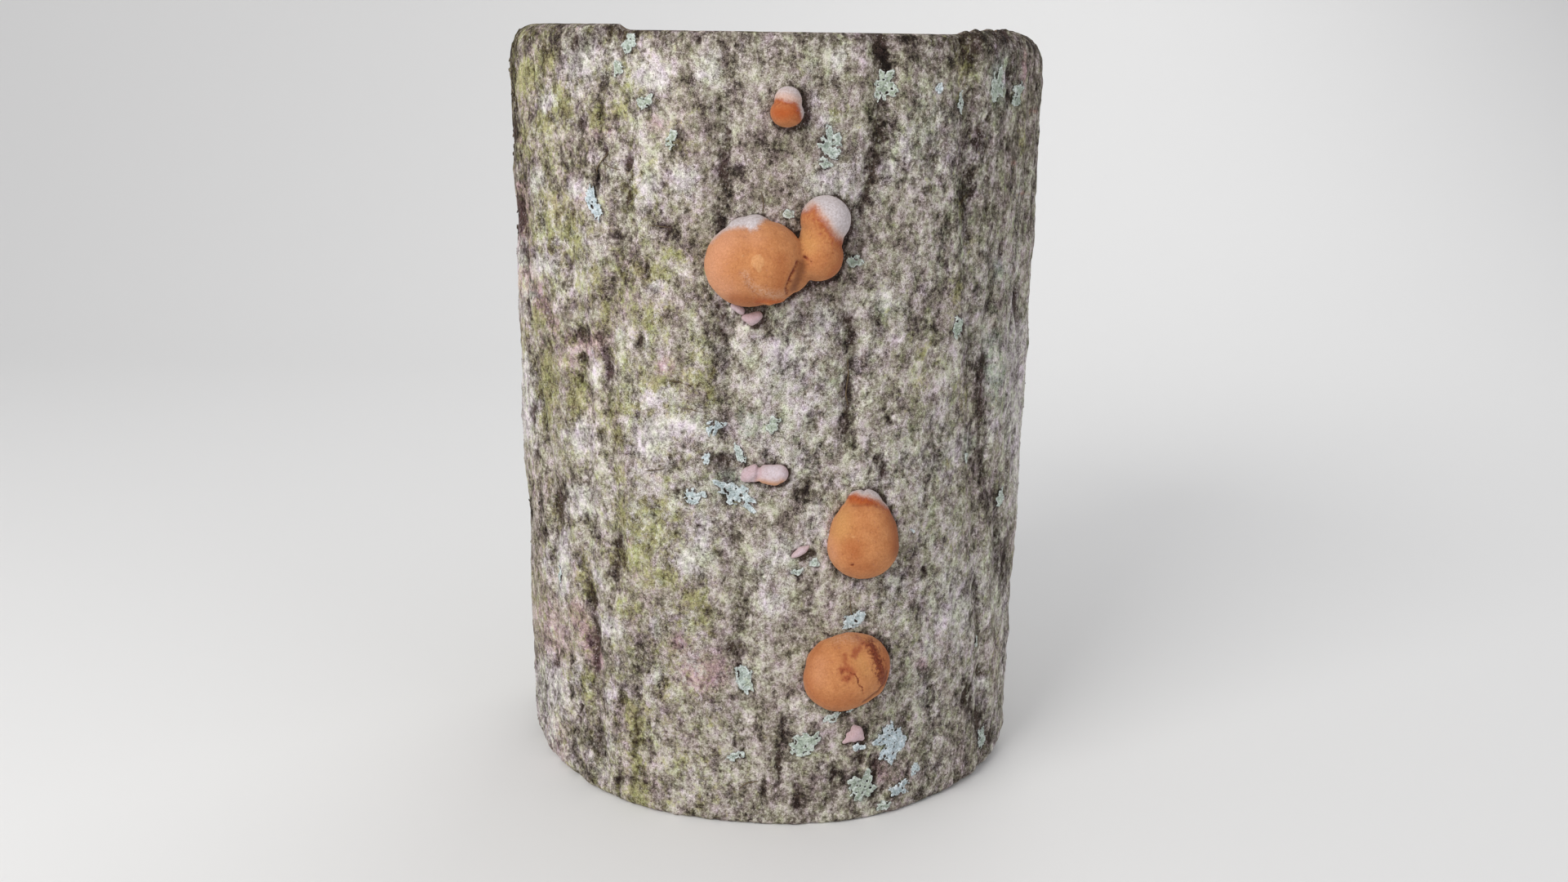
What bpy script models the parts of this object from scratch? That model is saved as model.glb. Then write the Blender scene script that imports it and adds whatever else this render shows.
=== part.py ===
"""Young bracket fungi on a section of trunk.

The trunk section stands on its lower saw cut, with its axis on the world's Z axis and the cut at
height zero. The fungi grow on the side that faces -Y. A place on the bark is given by its turn,
in degrees from -Y towards +X, its height above the lower cut, and how far it stands out of the bark.
"""

import math
import random
from collections import namedtuple

import bmesh
import bpy
from mathutils import Matrix, Vector

MM = 0.001

# Trunk section: oval, a little narrower at the foot, which stands out a little towards +X
TRUNK_HEIGHT = 368.0 * MM
TRUNK_HALF_WIDTH = 130.0 * MM
TRUNK_DEPTH_RATIO = 0.90
TRUNK_FOOT_RATIO = 0.98
TRUNK_LEAN = 2.5 * MM
TRUNK_COLUMNS = 100
TRUNK_RINGS = 20

# The worn rims of the two cuts are rounded, more at the sides than in front and behind
TOP_RIM_FRONT = 3.0 * MM
TOP_RIM_SIDE = 15.0 * MM
FOOT_RIM_FRONT = 3.0 * MM
FOOT_RIM_SIDE = 10.0 * MM
RIM_STEPS = 3
SHARP_EDGE = math.radians(35)

# Clear space between the bark and whatever grows on it
GROWTH_GAP = 0.4 * MM

# A furrow runs up the bark through (turn, height in mm) points. Its half width is in degrees.
Furrow = namedtuple("Furrow", "path half_width depth")
FRONT_FURROWS = (
    Furrow(((-9.7, 340), (-9.6, 270), (-8.0, 184), (-5.0, 69)), 4.6, 2.4 * MM),
    Furrow(((20.8, 362), (20.6, 321), (16.8, 290), (15.1, 184)), 4.2, 1.9 * MM),
    Furrow(((40.0, 366), (42.2, 304), (48.6, 198), (59.5, 12)), 4.6, 2.2 * MM),
    Furrow(((69.0, 330), (70.2, 268), (75.0, 210)), 4.4, 2.6 * MM),
    Furrow(((52.5, 240), (55.0, 180), (62.0, 120)), 4.0, 1.8 * MM),
    Furrow(((-29.0, 330), (-30.0, 280), (-36.4, 216), (-35.0, 140)), 4.6, 2.0 * MM),
    Furrow(((-47.5, 268), (-42.5, 234), (-44.0, 113), (-42.0, 30)), 4.6, 2.3 * MM),
    Furrow(((-70.0, 330), (-68.5, 247), (-57.0, 145), (-61.0, 60)), 4.8, 2.6 * MM),
)

# Broad swells of the bark: waves round the trunk, whose phase twists with height, per metre
Swell = namedtuple("Swell", "size waves phase twist")
BARK_SWELLS = (
    Swell(0.9 * MM, 3, 1.1, 5.0),
    Swell(0.6 * MM, 7, -0.4, -8.0),
)

# Furrows fade out over this length, in mm, beyond each end of their path
FURROW_FADE = 30.0

# Round the back, unseen furrows follow at even steps with some wander
BACK_FURROW_START = 96.0
BACK_FURROW_END = 276.0
BACK_FURROW_COUNT = 11
BACK_FURROW_SEED = 7

# A lobe is a ball stretched along the bark sideways, up and out of the bark. Sizes are in mm.
Lobe = namedtuple("Lobe", "turn height out half_side half_up half_out tilt")
FUNGI = {
    "bracket_twin": (
        Lobe(-4.5, 271.6, 3.0, 19.2, 18.2, 18.0, 0),
        Lobe(-1.4, 272.4, 4.0, 17.0, 17.9, 18.0, 0),
        Lobe(-3.4, 284.6, 1.5, 8.4, 8.2, 11.0, 0),
        Lobe(2.9, 270.8, 2.0, 9.6, 13.6, 13.5, 12),
        Lobe(8.5, 275.3, 1.5, 10.8, 10.8, 13.5, 0),
        Lobe(9.2, 283.5, 1.0, 9.4, 8.6, 12.0, 0),
        Lobe(9.9, 290.8, 1.0, 10.9, 10.3, 12.5, 0),
    ),
    "bracket_pear": (
        Lobe(18.6, 142.9, 3.0, 16.1, 15.4, 15.5, 0),
        Lobe(19.0, 153.0, 1.8, 13.4, 12.4, 14.0, 0),
        Lobe(19.3, 163.6, 0.0, 8.2, 4.8, 7.5, -8),
    ),
    "bracket_round": (
        Lobe(17.3, 83.2, 2.5, 16.2, 15.2, 14.5, 0),
        Lobe(15.6, 80.5, 3.0, 18.0, 16.8, 15.0, 0),
        Lobe(13.9, 77.6, 3.0, 17.0, 15.2, 14.5, 0),
    ),
    "bracket_bud": (
        Lobe(2.4, 335.3, 1.5, 7.1, 6.0, 8.5, 0),
        Lobe(2.6, 340.0, 0.5, 5.9, 6.2, 6.8, 0),
    ),
    "buds_pair": (
        Lobe(-4.3, 177.2, 0.5, 4.1, 4.7, 4.6, 0),
        Lobe(-0.4, 177.0, 1.0, 4.4, 4.3, 5.2, 0),
        Lobe(1.5, 177.0, 1.0, 4.6, 4.4, 5.2, 0),
    ),
    "bud_under_left": (
        Lobe(-6.7, 251.0, 0.5, 3.2, 2.8, 3.2, -20),
    ),
    "bud_under_right": (
        Lobe(-3.9, 247.2, 0.5, 4.6, 3.2, 4.0, 10),
    ),
    "bud_sliver": (
        Lobe(5.8, 140.0, 0.2, 5.2, 2.0, 2.6, 33),
    ),
    "bud_wedge": (
        Lobe(17.0, 43.9, 0.2, 3.8, 2.2, 2.8, 0),
        Lobe(18.2, 45.4, 0.2, 3.6, 3.6, 3.0, 0),
        Lobe(18.6, 48.0, 0.2, 2.2, 2.9, 2.4, 0),
    ),
}

# Triangles left on each fungus before the bark is cut out of it
FUNGUS_TRIANGLES = {
    "bracket_twin": 900,
    "bracket_pear": 480,
    "bracket_round": 480,
    "bracket_bud": 220,
    "buds_pair": 220,
}
SMALL_BUD_TRIANGLES = 110
LARGE_VOXEL = 1.1 * MM
SMALL_VOXEL = 0.5 * MM
SMOOTH_STEPS = 6

# A leafy lichen is a flat rosette with rounded lobes, longer one way when its stretch isn't 1
Lichen = namedtuple("Lichen", "turn height radius stretch tilt lobes")
LICHENS = (
    Lichen(21.4, 346.4, 5.6, 1.5, 75, 7),
    Lichen(10.7, 322.2, 5.8, 1.4, 120, 7),
    Lichen(50.2, 345.5, 5.2, 1.8, 92, 7),
    Lichen(59.5, 341.5, 6.0, 1.2, 60, 7),
    Lichen(-37.6, 293.4, 4.6, 1.9, 115, 6),
    Lichen(-7.4, 166.5, 5.6, 1.9, 150, 8),
    Lichen(-16.4, 164.8, 4.4, 1.0, 0, 6),
    Lichen(17.0, 105.5, 4.6, 1.5, 25, 6),
    Lichen(7.2, 44.4, 6.6, 1.3, 15, 8),
    Lichen(26.6, 39.6, 9.2, 1.2, 100, 9),
    Lichen(20.2, 17.8, 7.8, 1.1, 0, 8),
    Lichen(29.4, 12.8, 4.8, 1.6, 10, 6),
    Lichen(41.3, 239.5, 4.4, 1.5, 90, 6),
    Lichen(-5.8, 76.0, 4.6, 1.7, 110, 6),
    Lichen(112.0, 246.0, 8.0, 1.3, 60, 8),
    Lichen(171.0, 118.0, 9.0, 1.2, 20, 9),
    Lichen(236.0, 205.0, 8.2, 1.3, 130, 8),
)
LICHEN_TOP = 1.8 * MM
LICHEN_ROOT = -2.5 * MM
LICHEN_NOTCH = 0.66
LICHEN_SHOULDER = 0.88


def clear_scene():
    """Start with an empty scene."""
    for obj in list(bpy.data.objects):
        bpy.data.objects.remove(obj, do_unlink=True)


def make_material(name, color, roughness):
    """A plain matt material in the given linear colour."""
    material = bpy.data.materials.new(name)
    material.use_nodes = True
    shader = material.node_tree.nodes["Principled BSDF"]
    shader.inputs["Base Color"].default_value = (*color, 1.0)
    shader.inputs["Roughness"].default_value = roughness
    shader.inputs["Metallic"].default_value = 0.0
    return material


def back_furrows():
    """The furrows round the back of the trunk, in a fixed pseudo-random layout."""
    rng = random.Random(BACK_FURROW_SEED)
    step = (BACK_FURROW_END - BACK_FURROW_START) / BACK_FURROW_COUNT
    top = TRUNK_HEIGHT / MM
    furrows = []
    for index in range(BACK_FURROW_COUNT):
        turn = BACK_FURROW_START + (index + 0.5) * step + rng.uniform(-3, 3)
        foot_height = rng.uniform(-30, 90)
        top_height = rng.uniform(top - 90, top + 30)
        middle = (foot_height + top_height) / 2
        path = (
            (turn + rng.uniform(-3, 3), top_height),
            (turn + rng.uniform(-4, 4), middle),
            (turn + rng.uniform(-3, 3), foot_height),
        )
        furrows.append(Furrow(path, rng.uniform(4.2, 5.4), rng.uniform(1.7, 2.7) * MM))
    return furrows


def furrow_turn(furrow, height_mm):
    """The turn of a furrow's bottom at a height, along straight stretches of its path."""
    path = furrow.path
    for (upper_turn, upper), (lower_turn, lower) in zip(path, path[1:]):
        if height_mm >= lower:
            share = min(max((upper - height_mm) / (upper - lower), 0.0), 1.0)
            return upper_turn + share * (lower_turn - upper_turn)
    return path[-1][0]


def furrow_fade(furrow, height_mm):
    """One along the furrow, falling to zero beyond each end of its path."""
    upper = furrow.path[0][1]
    lower = furrow.path[-1][1]
    inside = FURROW_FADE + min(upper - height_mm, height_mm - lower)
    return min(max(inside / FURROW_FADE, 0.0), 1.0)


def wrap_turn(turn):
    """The same turn between -180 and 180 degrees."""
    return (turn + 180.0) % 360.0 - 180.0


def bark_relief(turn, height, furrows):
    """How far the bark stands out of the plain oval: broad swells, less the furrows."""
    angle = math.radians(turn)
    relief = 0.0
    for swell in BARK_SWELLS:
        relief += swell.size * math.sin(swell.waves * angle + swell.phase + swell.twist * height)
    height_mm = height / MM
    for furrow in furrows:
        distance = abs(wrap_turn(turn - furrow_turn(furrow, height_mm))) / furrow.half_width
        if distance < 1.0:
            bell = 0.5 + 0.5 * math.cos(math.pi * distance)
            relief -= furrow.depth * bell * furrow_fade(furrow, height_mm)
    return relief


def oval_point(turn, height, out):
    """A point that stands out of the plain, tapering oval by the given amount."""
    taper = TRUNK_FOOT_RATIO + (1 - TRUNK_FOOT_RATIO) * height / TRUNK_HEIGHT
    half_width = TRUNK_HALF_WIDTH * taper
    half_depth = half_width * TRUNK_DEPTH_RATIO
    angle = math.radians(turn)
    lean = TRUNK_LEAN * (1 - height / TRUNK_HEIGHT)
    return Vector((
        lean + (half_width + out) * math.sin(angle),
        -(half_depth + out) * math.cos(angle),
        height,
    ))


def rim_radius(turn, front, side):
    """Radius of a worn rim, which grows from the front and back towards the sides."""
    sideways = math.sin(math.radians(turn)) ** 4
    return front + (side - front) * sideways


def trunk_profile(turn):
    """(height, inset) points up one line of the trunk, from the lower cut to the upper one."""
    foot = rim_radius(turn, FOOT_RIM_FRONT, FOOT_RIM_SIDE)
    top = rim_radius(turn, TOP_RIM_FRONT, TOP_RIM_SIDE)
    profile = []
    for step in range(RIM_STEPS):
        bend = math.pi / 2 * step / RIM_STEPS
        profile.append((foot * (1 - math.cos(bend)), foot * (1 - math.sin(bend))))
    for ring in range(TRUNK_RINGS):
        share = ring / (TRUNK_RINGS - 1)
        profile.append((foot + share * (TRUNK_HEIGHT - top - foot), 0.0))
    for step in range(1, RIM_STEPS + 1):
        bend = math.pi / 2 * step / RIM_STEPS
        profile.append((TRUNK_HEIGHT - top * (1 - math.sin(bend)), top * (1 - math.cos(bend))))
    return profile


def trunk_mesh(name, swell):
    """Closed mesh of the trunk section, with its bark moved out by the given swell."""
    furrows = list(FRONT_FURROWS) + back_furrows()
    bm = bmesh.new()
    columns = []
    for column in range(TRUNK_COLUMNS):
        turn = 360.0 * column / TRUNK_COLUMNS
        verts = []
        for height, inset in trunk_profile(turn):
            out = bark_relief(turn, height, furrows) + swell - inset
            verts.append(bm.verts.new(oval_point(turn, height, out)))
        columns.append(verts)
    for column, verts in enumerate(columns):
        following = columns[(column + 1) % TRUNK_COLUMNS]
        for ring in range(len(verts) - 1):
            bm.faces.new((verts[ring], following[ring], following[ring + 1], verts[ring + 1]))
    foot_centre = bm.verts.new((TRUNK_LEAN, 0.0, 0.0))
    top_centre = bm.verts.new((0.0, 0.0, TRUNK_HEIGHT))
    for column, verts in enumerate(columns):
        following = columns[(column + 1) % TRUNK_COLUMNS]
        bm.faces.new((verts[0], foot_centre, following[0]))
        bm.faces.new((verts[-1], following[-1], top_centre))
    bmesh.ops.recalc_face_normals(bm, faces=bm.faces)
    mesh = bpy.data.meshes.new(name)
    bm.to_mesh(mesh)
    bm.free()
    return mesh


def add_object(name, mesh, material=None):
    """Link an object to the scene, with its material."""
    obj = bpy.data.objects.new(name, mesh)
    bpy.context.scene.collection.objects.link(obj)
    if material:
        mesh.materials.append(material)
    return obj


def make_log(material):
    """The trunk section itself."""
    mesh = trunk_mesh("log", 0.0)
    mesh.shade_smooth()
    mesh.set_sharp_from_angle(angle=SHARP_EDGE)
    return add_object("log", mesh, material)


def make_bark_skin():
    """Guide that cuts the bark, and a little clear space, out of what grows on it."""
    skin = add_object("bark_skin", trunk_mesh("bark_skin", GROWTH_GAP))
    skin.hide_render = True
    skin.display_type = "WIRE"
    return skin


def bark_frame(turn, height, out):
    """Matrix at a place on the bark: X sideways along it, Y up, Z straight out."""
    angle = math.radians(turn)
    origin = oval_point(turn, height, out)
    side = Vector((math.cos(angle), TRUNK_DEPTH_RATIO * math.sin(angle), 0.0)).normalized()
    up = Vector((0.0, 0.0, 1.0))
    outward = side.cross(up)
    turned = Matrix((side, up, outward)).transposed()
    return Matrix.Translation(origin) @ turned.to_4x4()


def lobe_matrix(lobe):
    """Places and stretches a unit ball into a lobe."""
    place = bark_frame(lobe.turn, lobe.height * MM, lobe.out * MM)
    tilt = Matrix.Rotation(math.radians(lobe.tilt), 4, "Z")
    half_sizes = (lobe.half_side * MM, lobe.half_up * MM, lobe.half_out * MM)
    return place @ tilt @ Matrix.Diagonal((*half_sizes, 1.0))


def triangle_count(obj):
    """Triangles of the object as its modifiers leave it."""
    depsgraph = bpy.context.evaluated_depsgraph_get()
    evaluated = obj.evaluated_get(depsgraph)
    mesh = evaluated.to_mesh()
    mesh.calc_loop_triangles()
    count = len(mesh.loop_triangles)
    evaluated.to_mesh_clear()
    return count


def cut_bark(obj, skin):
    """Cut the back of a growth to the shape of the bark."""
    cut = obj.modifiers.new("cut_bark", "BOOLEAN")
    cut.operation = "DIFFERENCE"
    cut.solver = "EXACT"
    cut.object = skin


def make_fungus(name, lobes, triangles, voxel, material, skin):
    """One body grown from overlapping lobes, cut to fit the bark."""
    bm = bmesh.new()
    for lobe in lobes:
        bmesh.ops.create_icosphere(bm, subdivisions=4, radius=1.0, matrix=lobe_matrix(lobe))
    mesh = bpy.data.meshes.new(name)
    bm.to_mesh(mesh)
    bm.free()
    obj = add_object(name, mesh, material)
    fuse = obj.modifiers.new("fuse_lobes", "REMESH")
    fuse.mode = "VOXEL"
    fuse.voxel_size = voxel
    fuse.use_smooth_shade = True
    soften = obj.modifiers.new("soften", "SMOOTH")
    soften.factor = 0.5
    soften.iterations = SMOOTH_STEPS
    thin_ratio = triangles / triangle_count(obj)
    thin = obj.modifiers.new("thin_out", "DECIMATE")
    thin.ratio = thin_ratio
    cut_bark(obj, skin)
    return obj


def lichen_outline(lichen):
    """(side, up) points round a rosette: a notch and a tip for each lobe."""
    tilt = math.radians(lichen.tilt)
    points = []
    for lobe in range(lichen.lobes):
        for part, reach in enumerate((LICHEN_NOTCH, 1.0)):
            angle = 2 * math.pi * (lobe + part / 2) / lichen.lobes
            uneven = 1.0 + 0.10 * math.sin(2.4 * lobe + lichen.turn)
            along = lichen.radius * reach * uneven * lichen.stretch * math.cos(angle)
            across = lichen.radius * reach * uneven * math.sin(angle)
            points.append((
                along * math.cos(tilt) - across * math.sin(tilt),
                along * math.sin(tilt) + across * math.cos(tilt),
            ))
    return points


def on_bark(lichen, side_mm, up_mm, out, furrows):
    """Point of a lichen beside its centre, which follows the curve and relief of the bark."""
    turn = lichen.turn + math.degrees(side_mm * MM / TRUNK_HALF_WIDTH)
    height = (lichen.height + up_mm) * MM
    return oval_point(turn, height, bark_relief(turn, height, furrows) + out)


def make_lichen(name, lichen, material, skin, furrows):
    """A thin lobed crust that follows the bark."""
    outline = lichen_outline(lichen)
    bm = bmesh.new()
    rings = []
    for out, share in ((LICHEN_ROOT, 1.0), (LICHEN_TOP, LICHEN_SHOULDER)):
        rings.append([
            bm.verts.new(on_bark(lichen, side * share, up * share, out, furrows))
            for side, up in outline
        ])
    count = len(outline)
    root, top = rings
    for index in range(count):
        following = (index + 1) % count
        bm.faces.new((root[index], root[following], top[following], top[index]))
    for ring, out in ((root, LICHEN_ROOT), (top, LICHEN_TOP)):
        centre = bm.verts.new(on_bark(lichen, 0.0, 0.0, out, furrows))
        for index in range(count):
            bm.faces.new((ring[index], ring[(index + 1) % count], centre))
    bmesh.ops.triangulate(bm, faces=bm.faces)
    bmesh.ops.recalc_face_normals(bm, faces=bm.faces)
    mesh = bpy.data.meshes.new(name)
    bm.to_mesh(mesh)
    bm.free()
    obj = add_object(name, mesh, material)
    cut_bark(obj, skin)
    return obj


def build():
    """Build the whole part."""
    clear_scene()
    bark = make_material("bark", (0.30, 0.27, 0.21), 0.95)
    orange_flesh = make_material("orange_flesh", (0.55, 0.21, 0.06), 0.85)
    pink_flesh = make_material("pink_flesh", (0.62, 0.38, 0.32), 0.9)
    pale_green = make_material("pale_green", (0.45, 0.52, 0.46), 0.9)
    make_log(bark)
    skin = make_bark_skin()
    for name, lobes in FUNGI.items():
        large = name.startswith("bracket")
        triangles = FUNGUS_TRIANGLES.get(name, SMALL_BUD_TRIANGLES)
        voxel = LARGE_VOXEL if large and name != "bracket_bud" else SMALL_VOXEL
        make_fungus(name, lobes, triangles, voxel, orange_flesh if large else pink_flesh, skin)
    furrows = list(FRONT_FURROWS) + back_furrows()
    for index, lichen in enumerate(LICHENS, start=1):
        make_lichen(f"lichen_{index}", lichen, pale_green, skin, furrows)


build()
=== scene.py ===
import math
import random
from collections import namedtuple

import bmesh
import bpy
import numpy as np
from mathutils import Matrix, Vector, noise


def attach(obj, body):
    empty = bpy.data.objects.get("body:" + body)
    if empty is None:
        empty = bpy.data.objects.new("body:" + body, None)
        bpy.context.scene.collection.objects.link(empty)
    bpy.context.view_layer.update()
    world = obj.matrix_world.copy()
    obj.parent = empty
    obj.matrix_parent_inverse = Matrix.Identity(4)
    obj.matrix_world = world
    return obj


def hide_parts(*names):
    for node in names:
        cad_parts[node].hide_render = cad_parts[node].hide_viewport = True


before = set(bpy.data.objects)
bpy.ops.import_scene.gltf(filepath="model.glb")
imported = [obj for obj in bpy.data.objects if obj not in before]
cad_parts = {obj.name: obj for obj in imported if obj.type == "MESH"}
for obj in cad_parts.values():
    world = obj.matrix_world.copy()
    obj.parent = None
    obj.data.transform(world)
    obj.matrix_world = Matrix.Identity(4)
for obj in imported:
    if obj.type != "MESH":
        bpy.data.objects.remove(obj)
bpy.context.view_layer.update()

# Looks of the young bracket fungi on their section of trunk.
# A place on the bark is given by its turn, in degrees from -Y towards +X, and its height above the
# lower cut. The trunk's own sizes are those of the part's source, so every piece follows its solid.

MM = 0.001

# The photograph's camera
PHOTO_WIDTH = 1920
PHOTO_HEIGHT = 1080
CAMERA_PLACE = (0.0, -0.7476, 0.3661)
CAMERA_PITCH = math.radians(15.385)
CAMERA_YAW = math.radians(0.583)
CAMERA_ROLL = math.radians(-0.804)
CAMERA_LENS = 33.75
CAMERA_SENSOR = 36.0
# Steps towards the place on the bark that a pixel shows, and towards a point's place on the oval
SEEK_STEPS = 60
SEEK_SHARE = 0.8
SEEK_TURN_LIMIT = 88.0
OVAL_STEPS = 6

# Trunk section
TRUNK_HEIGHT = 368.0 * MM
TRUNK_HALF_WIDTH = 130.0 * MM
TRUNK_DEPTH_RATIO = 0.90
TRUNK_FOOT_RATIO = 0.98
TRUNK_LEAN = 2.5 * MM
TOP_RIM_FRONT = 3.0 * MM
TOP_RIM_SIDE = 15.0 * MM
FOOT_RIM_FRONT = 3.0 * MM
FOOT_RIM_SIDE = 10.0 * MM
MM_PER_DEGREE = math.radians(1) * TRUNK_HALF_WIDTH / MM

Furrow = namedtuple("Furrow", "path half_width depth")
FRONT_FURROWS = (
    Furrow(((-9.7, 340), (-9.6, 270), (-8.0, 184), (-5.0, 69)), 4.6, 2.4 * MM),
    Furrow(((20.8, 362), (20.6, 321), (16.8, 290), (15.1, 184)), 4.2, 1.9 * MM),
    Furrow(((40.0, 366), (42.2, 304), (48.6, 198), (59.5, 12)), 4.6, 2.2 * MM),
    Furrow(((69.0, 330), (70.2, 268), (75.0, 210)), 4.4, 2.6 * MM),
    Furrow(((52.5, 240), (55.0, 180), (62.0, 120)), 4.0, 1.8 * MM),
    Furrow(((-29.0, 330), (-30.0, 280), (-36.4, 216), (-35.0, 140)), 4.6, 2.0 * MM),
    Furrow(((-47.5, 268), (-42.5, 234), (-44.0, 113), (-42.0, 30)), 4.6, 2.3 * MM),
    Furrow(((-70.0, 330), (-68.5, 247), (-57.0, 145), (-61.0, 60)), 4.8, 2.6 * MM),
)
Swell = namedtuple("Swell", "size waves phase twist")
BARK_SWELLS = (
    Swell(0.9 * MM, 3, 1.1, 5.0),
    Swell(0.6 * MM, 7, -0.4, -8.0),
)
FURROW_FADE = 30.0
BACK_FURROW_START = 96.0
BACK_FURROW_END = 276.0
BACK_FURROW_COUNT = 11
BACK_FURROW_SEED = 7
BACK_FURROW_DRIFT = (-3, 3)
BACK_FURROW_BEND = (-4, 4)
BACK_FURROW_FEET = (-30, 90)
BACK_FURROW_TOPS = (TRUNK_HEIGHT / MM - 90, TRUNK_HEIGHT / MM + 30)
BACK_FURROW_HALF_WIDTHS = (4.2, 5.4)
BACK_FURROW_DEPTHS = (1.7, 2.7)

# Mesh of the bark: finer columns on the front, which carries the fungi
FRONT_COLUMNS = 336
BACK_COLUMNS = 114
FRONT_EDGE = 100.0
WALL_RINGS = 180
FOOT_RIM_STEPS = 5
TOP_RIM_STEPS = 7
CAP_SHARES = (0.965, 0.92, 0.84, 0.7, 0.52, 0.34, 0.17)

# Relief of the bark on top of swells and furrows: cell across in mm, how much taller than wide it is,
# octaves, size and seed
Relief = namedtuple("Relief", "cell stretch octaves size seed")
BARK_PLATES = Relief(17.0, 1.9, 3, 0.95 * MM, 3.0)
BARK_KNOBS = Relief(6.0, 1.3, 4, 0.7 * MM, 11.0)
BARK_CRACKS = Relief(9.0, 2.4, 3, 0.95 * MM, 23.0)
BARK_STRANDS = Relief(3.6, 9.0, 3, 0.65 * MM, 29.0)
CRACK_WIDTH = 0.085
HOLLOW_DEPTH = 1.3 * MM
# Cracks set in as the plates sink past the first levels, and low places as they sink past the second
CRACK_LEVELS = (-0.25, 0.25)
LOW_LEVELS = (0.05, 0.9)
# Turns at which upright strands set in on the right, and at which the back's waxing and waning does
STRAND_TURNS = (34.0, 56.0)
STRAND_BACK_TURNS = (92.0, 110.0)
STRAND_BACK_WAVES = 3
STRAND_BACK_PHASE = 40.0

# The saw left the rim of the top cut a little higher on both sides, from these turns on, and the
# steps turn outwards as they run in from the rim
SAW_STEP = 2.4 * MM
SAW_STEP_LEFT = -30.9
SAW_STEP_RIGHT = 40.2
SAW_STEP_TURNING = 85.0
SAW_STEP_RIGHT_SHARE = 0.5
SAW_STEP_SLOPE_LEFT = 0.5
SAW_STEP_SLOPE_RIGHT = 1.4
SAW_STEP_INNER_SHARES = (0.76, 0.88)
SAW_STEP_END_TURNS = (100.0, 130.0)
RIM_SHARE = 0.97
RIM_WEAR = Relief(7.0, 1.0, 2, 0.5 * MM, 89.0)
RIM_WEAR_HEIGHTS = (TRUNK_HEIGHT - 16 * MM, TRUNK_HEIGHT - 1 * MM)
# Splinters stand on its right side: (turn, height in mm)
SPLINTERS = (
    (42.0, 1.0), (44.9, 1.5), (47.0, 0.6), (48.9, 1.0), (50.7, 1.7), (52.5, 1.1), (54.6, 0.7), (56.7, 1.8),
    (59.1, 1.9), (61.4, 1.5), (64.5, 1.2), (68.0, 0.7), (73.0, 1.0),
)
SPLINTER_WIDTH = 0.85

# Drying checks in the cuts: (turn, first share of the radius, last share)
CHECKS = (
    (22, 0.05, 0.8), (97, 0.12, 0.62), (151, 0.05, 0.9),
    (214, 0.2, 0.7), (262, 0.06, 0.86), (318, 0.15, 0.6),
)
CHECK_DEPTH = 4.0 * MM
CHECK_WIDTH = 0.8
CHECK_BEND = 4.0
CHECK_BEND_WAVES = 9.0
CUT_ROUGHNESS = Relief(9.0, 1.0, 3, 0.35 * MM, 83.0)

# Colour patches of the bark, read off the photograph: middle and half sizes as they
# show there in pixels, and how strong the patch is
Patch = namedtuple("Patch", "x y half_x half_y amount")
PALE_PATCHES = (
    (710, 73, 18, 20, 0.8), (668, 123, 10, 12, 0.9), (803, 92, 22, 14, 0.7), (872, 83, 14, 16, 0.8),
    (841, 220, 16, 16, 0.8), (795, 230, 12, 14, 0.7), (704, 231, 9, 10, 0.9), (658, 222, 8, 10, 0.9),
    (664, 323, 10, 10, 0.9), (633, 315, 6, 14, 0.9), (731, 231, 6, 6, 0.6), (641, 456, 6, 16, 1.2),
    (643, 509, 7, 26, 1.3), (725, 460, 12, 20, 0.6), (795, 488, 10, 14, 0.5), (847, 519, 24, 20, 0.6),
    (710, 536, 10, 14, 0.8), (704, 614, 14, 16, 0.8), (801, 351, 12, 8, 0.7), (759, 408, 6, 8, 0.6),
    (921, 519, 10, 12, 0.6), (633, 372, 4, 12, 1.0), (651, 361, 6, 4, 0.9), (685, 679, 8, 20, 1.2),
    (665, 690, 4, 6, 0.8), (687, 721, 8, 10, 0.7), (745, 766, 12, 12, 0.8), (745, 851, 8, 8, 0.8),
    (803, 762, 6, 14, 0.8), (841, 690, 14, 12, 0.9), (729, 706, 8, 8, 0.7), (944, 688, 14, 14, 0.7),
    (803, 826, 8, 8, 0.7), (705, 820, 5, 14, 0.6), (749, 907, 6, 8, 0.6), (944, 739, 14, 10, 0.5),
    (1012, 226, 30, 18, 0.9), (1031, 72, 8, 10, 0.9), (1085, 207, 8, 8, 0.9), (1111, 181, 6, 10, 0.8),
    (1014, 148, 8, 6, 0.7), (1163, 194, 10, 10, 0.4), (1035, 230, 4, 16, 0.7), (1012, 392, 14, 18, 0.8),
    (960, 438, 14, 14, 0.8), (1079, 373, 8, 8, 0.5), (1038, 589, 16, 8, 0.7), (1001, 644, 16, 20, 0.8),
    (1222, 438, 10, 16, 0.5), (1220, 524, 6, 20, 0.7), (1189, 546, 12, 14, 0.5), (983, 505, 8, 8, 0.5),
    (958, 678, 20, 16, 0.7), (1094, 716, 12, 14, 0.6), (1045, 718, 14, 8, 0.6), (1141, 794, 10, 10, 0.7),
    (1208, 839, 5, 5, 1.0), (1199, 836, 4, 4, 0.9), (672, 842, 16, 34, 0.8), (1243, 480, 8, 70, 1.2),
    (1160, 740, 30, 40, 0.6), (860, 670, 14, 34, 0.7), (800, 532, 26, 24, 0.7), (812, 492, 18, 14, 0.5),
    (664, 880, 16, 50, 0.5), (1230, 800, 4, 60, 0.5),
)
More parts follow.
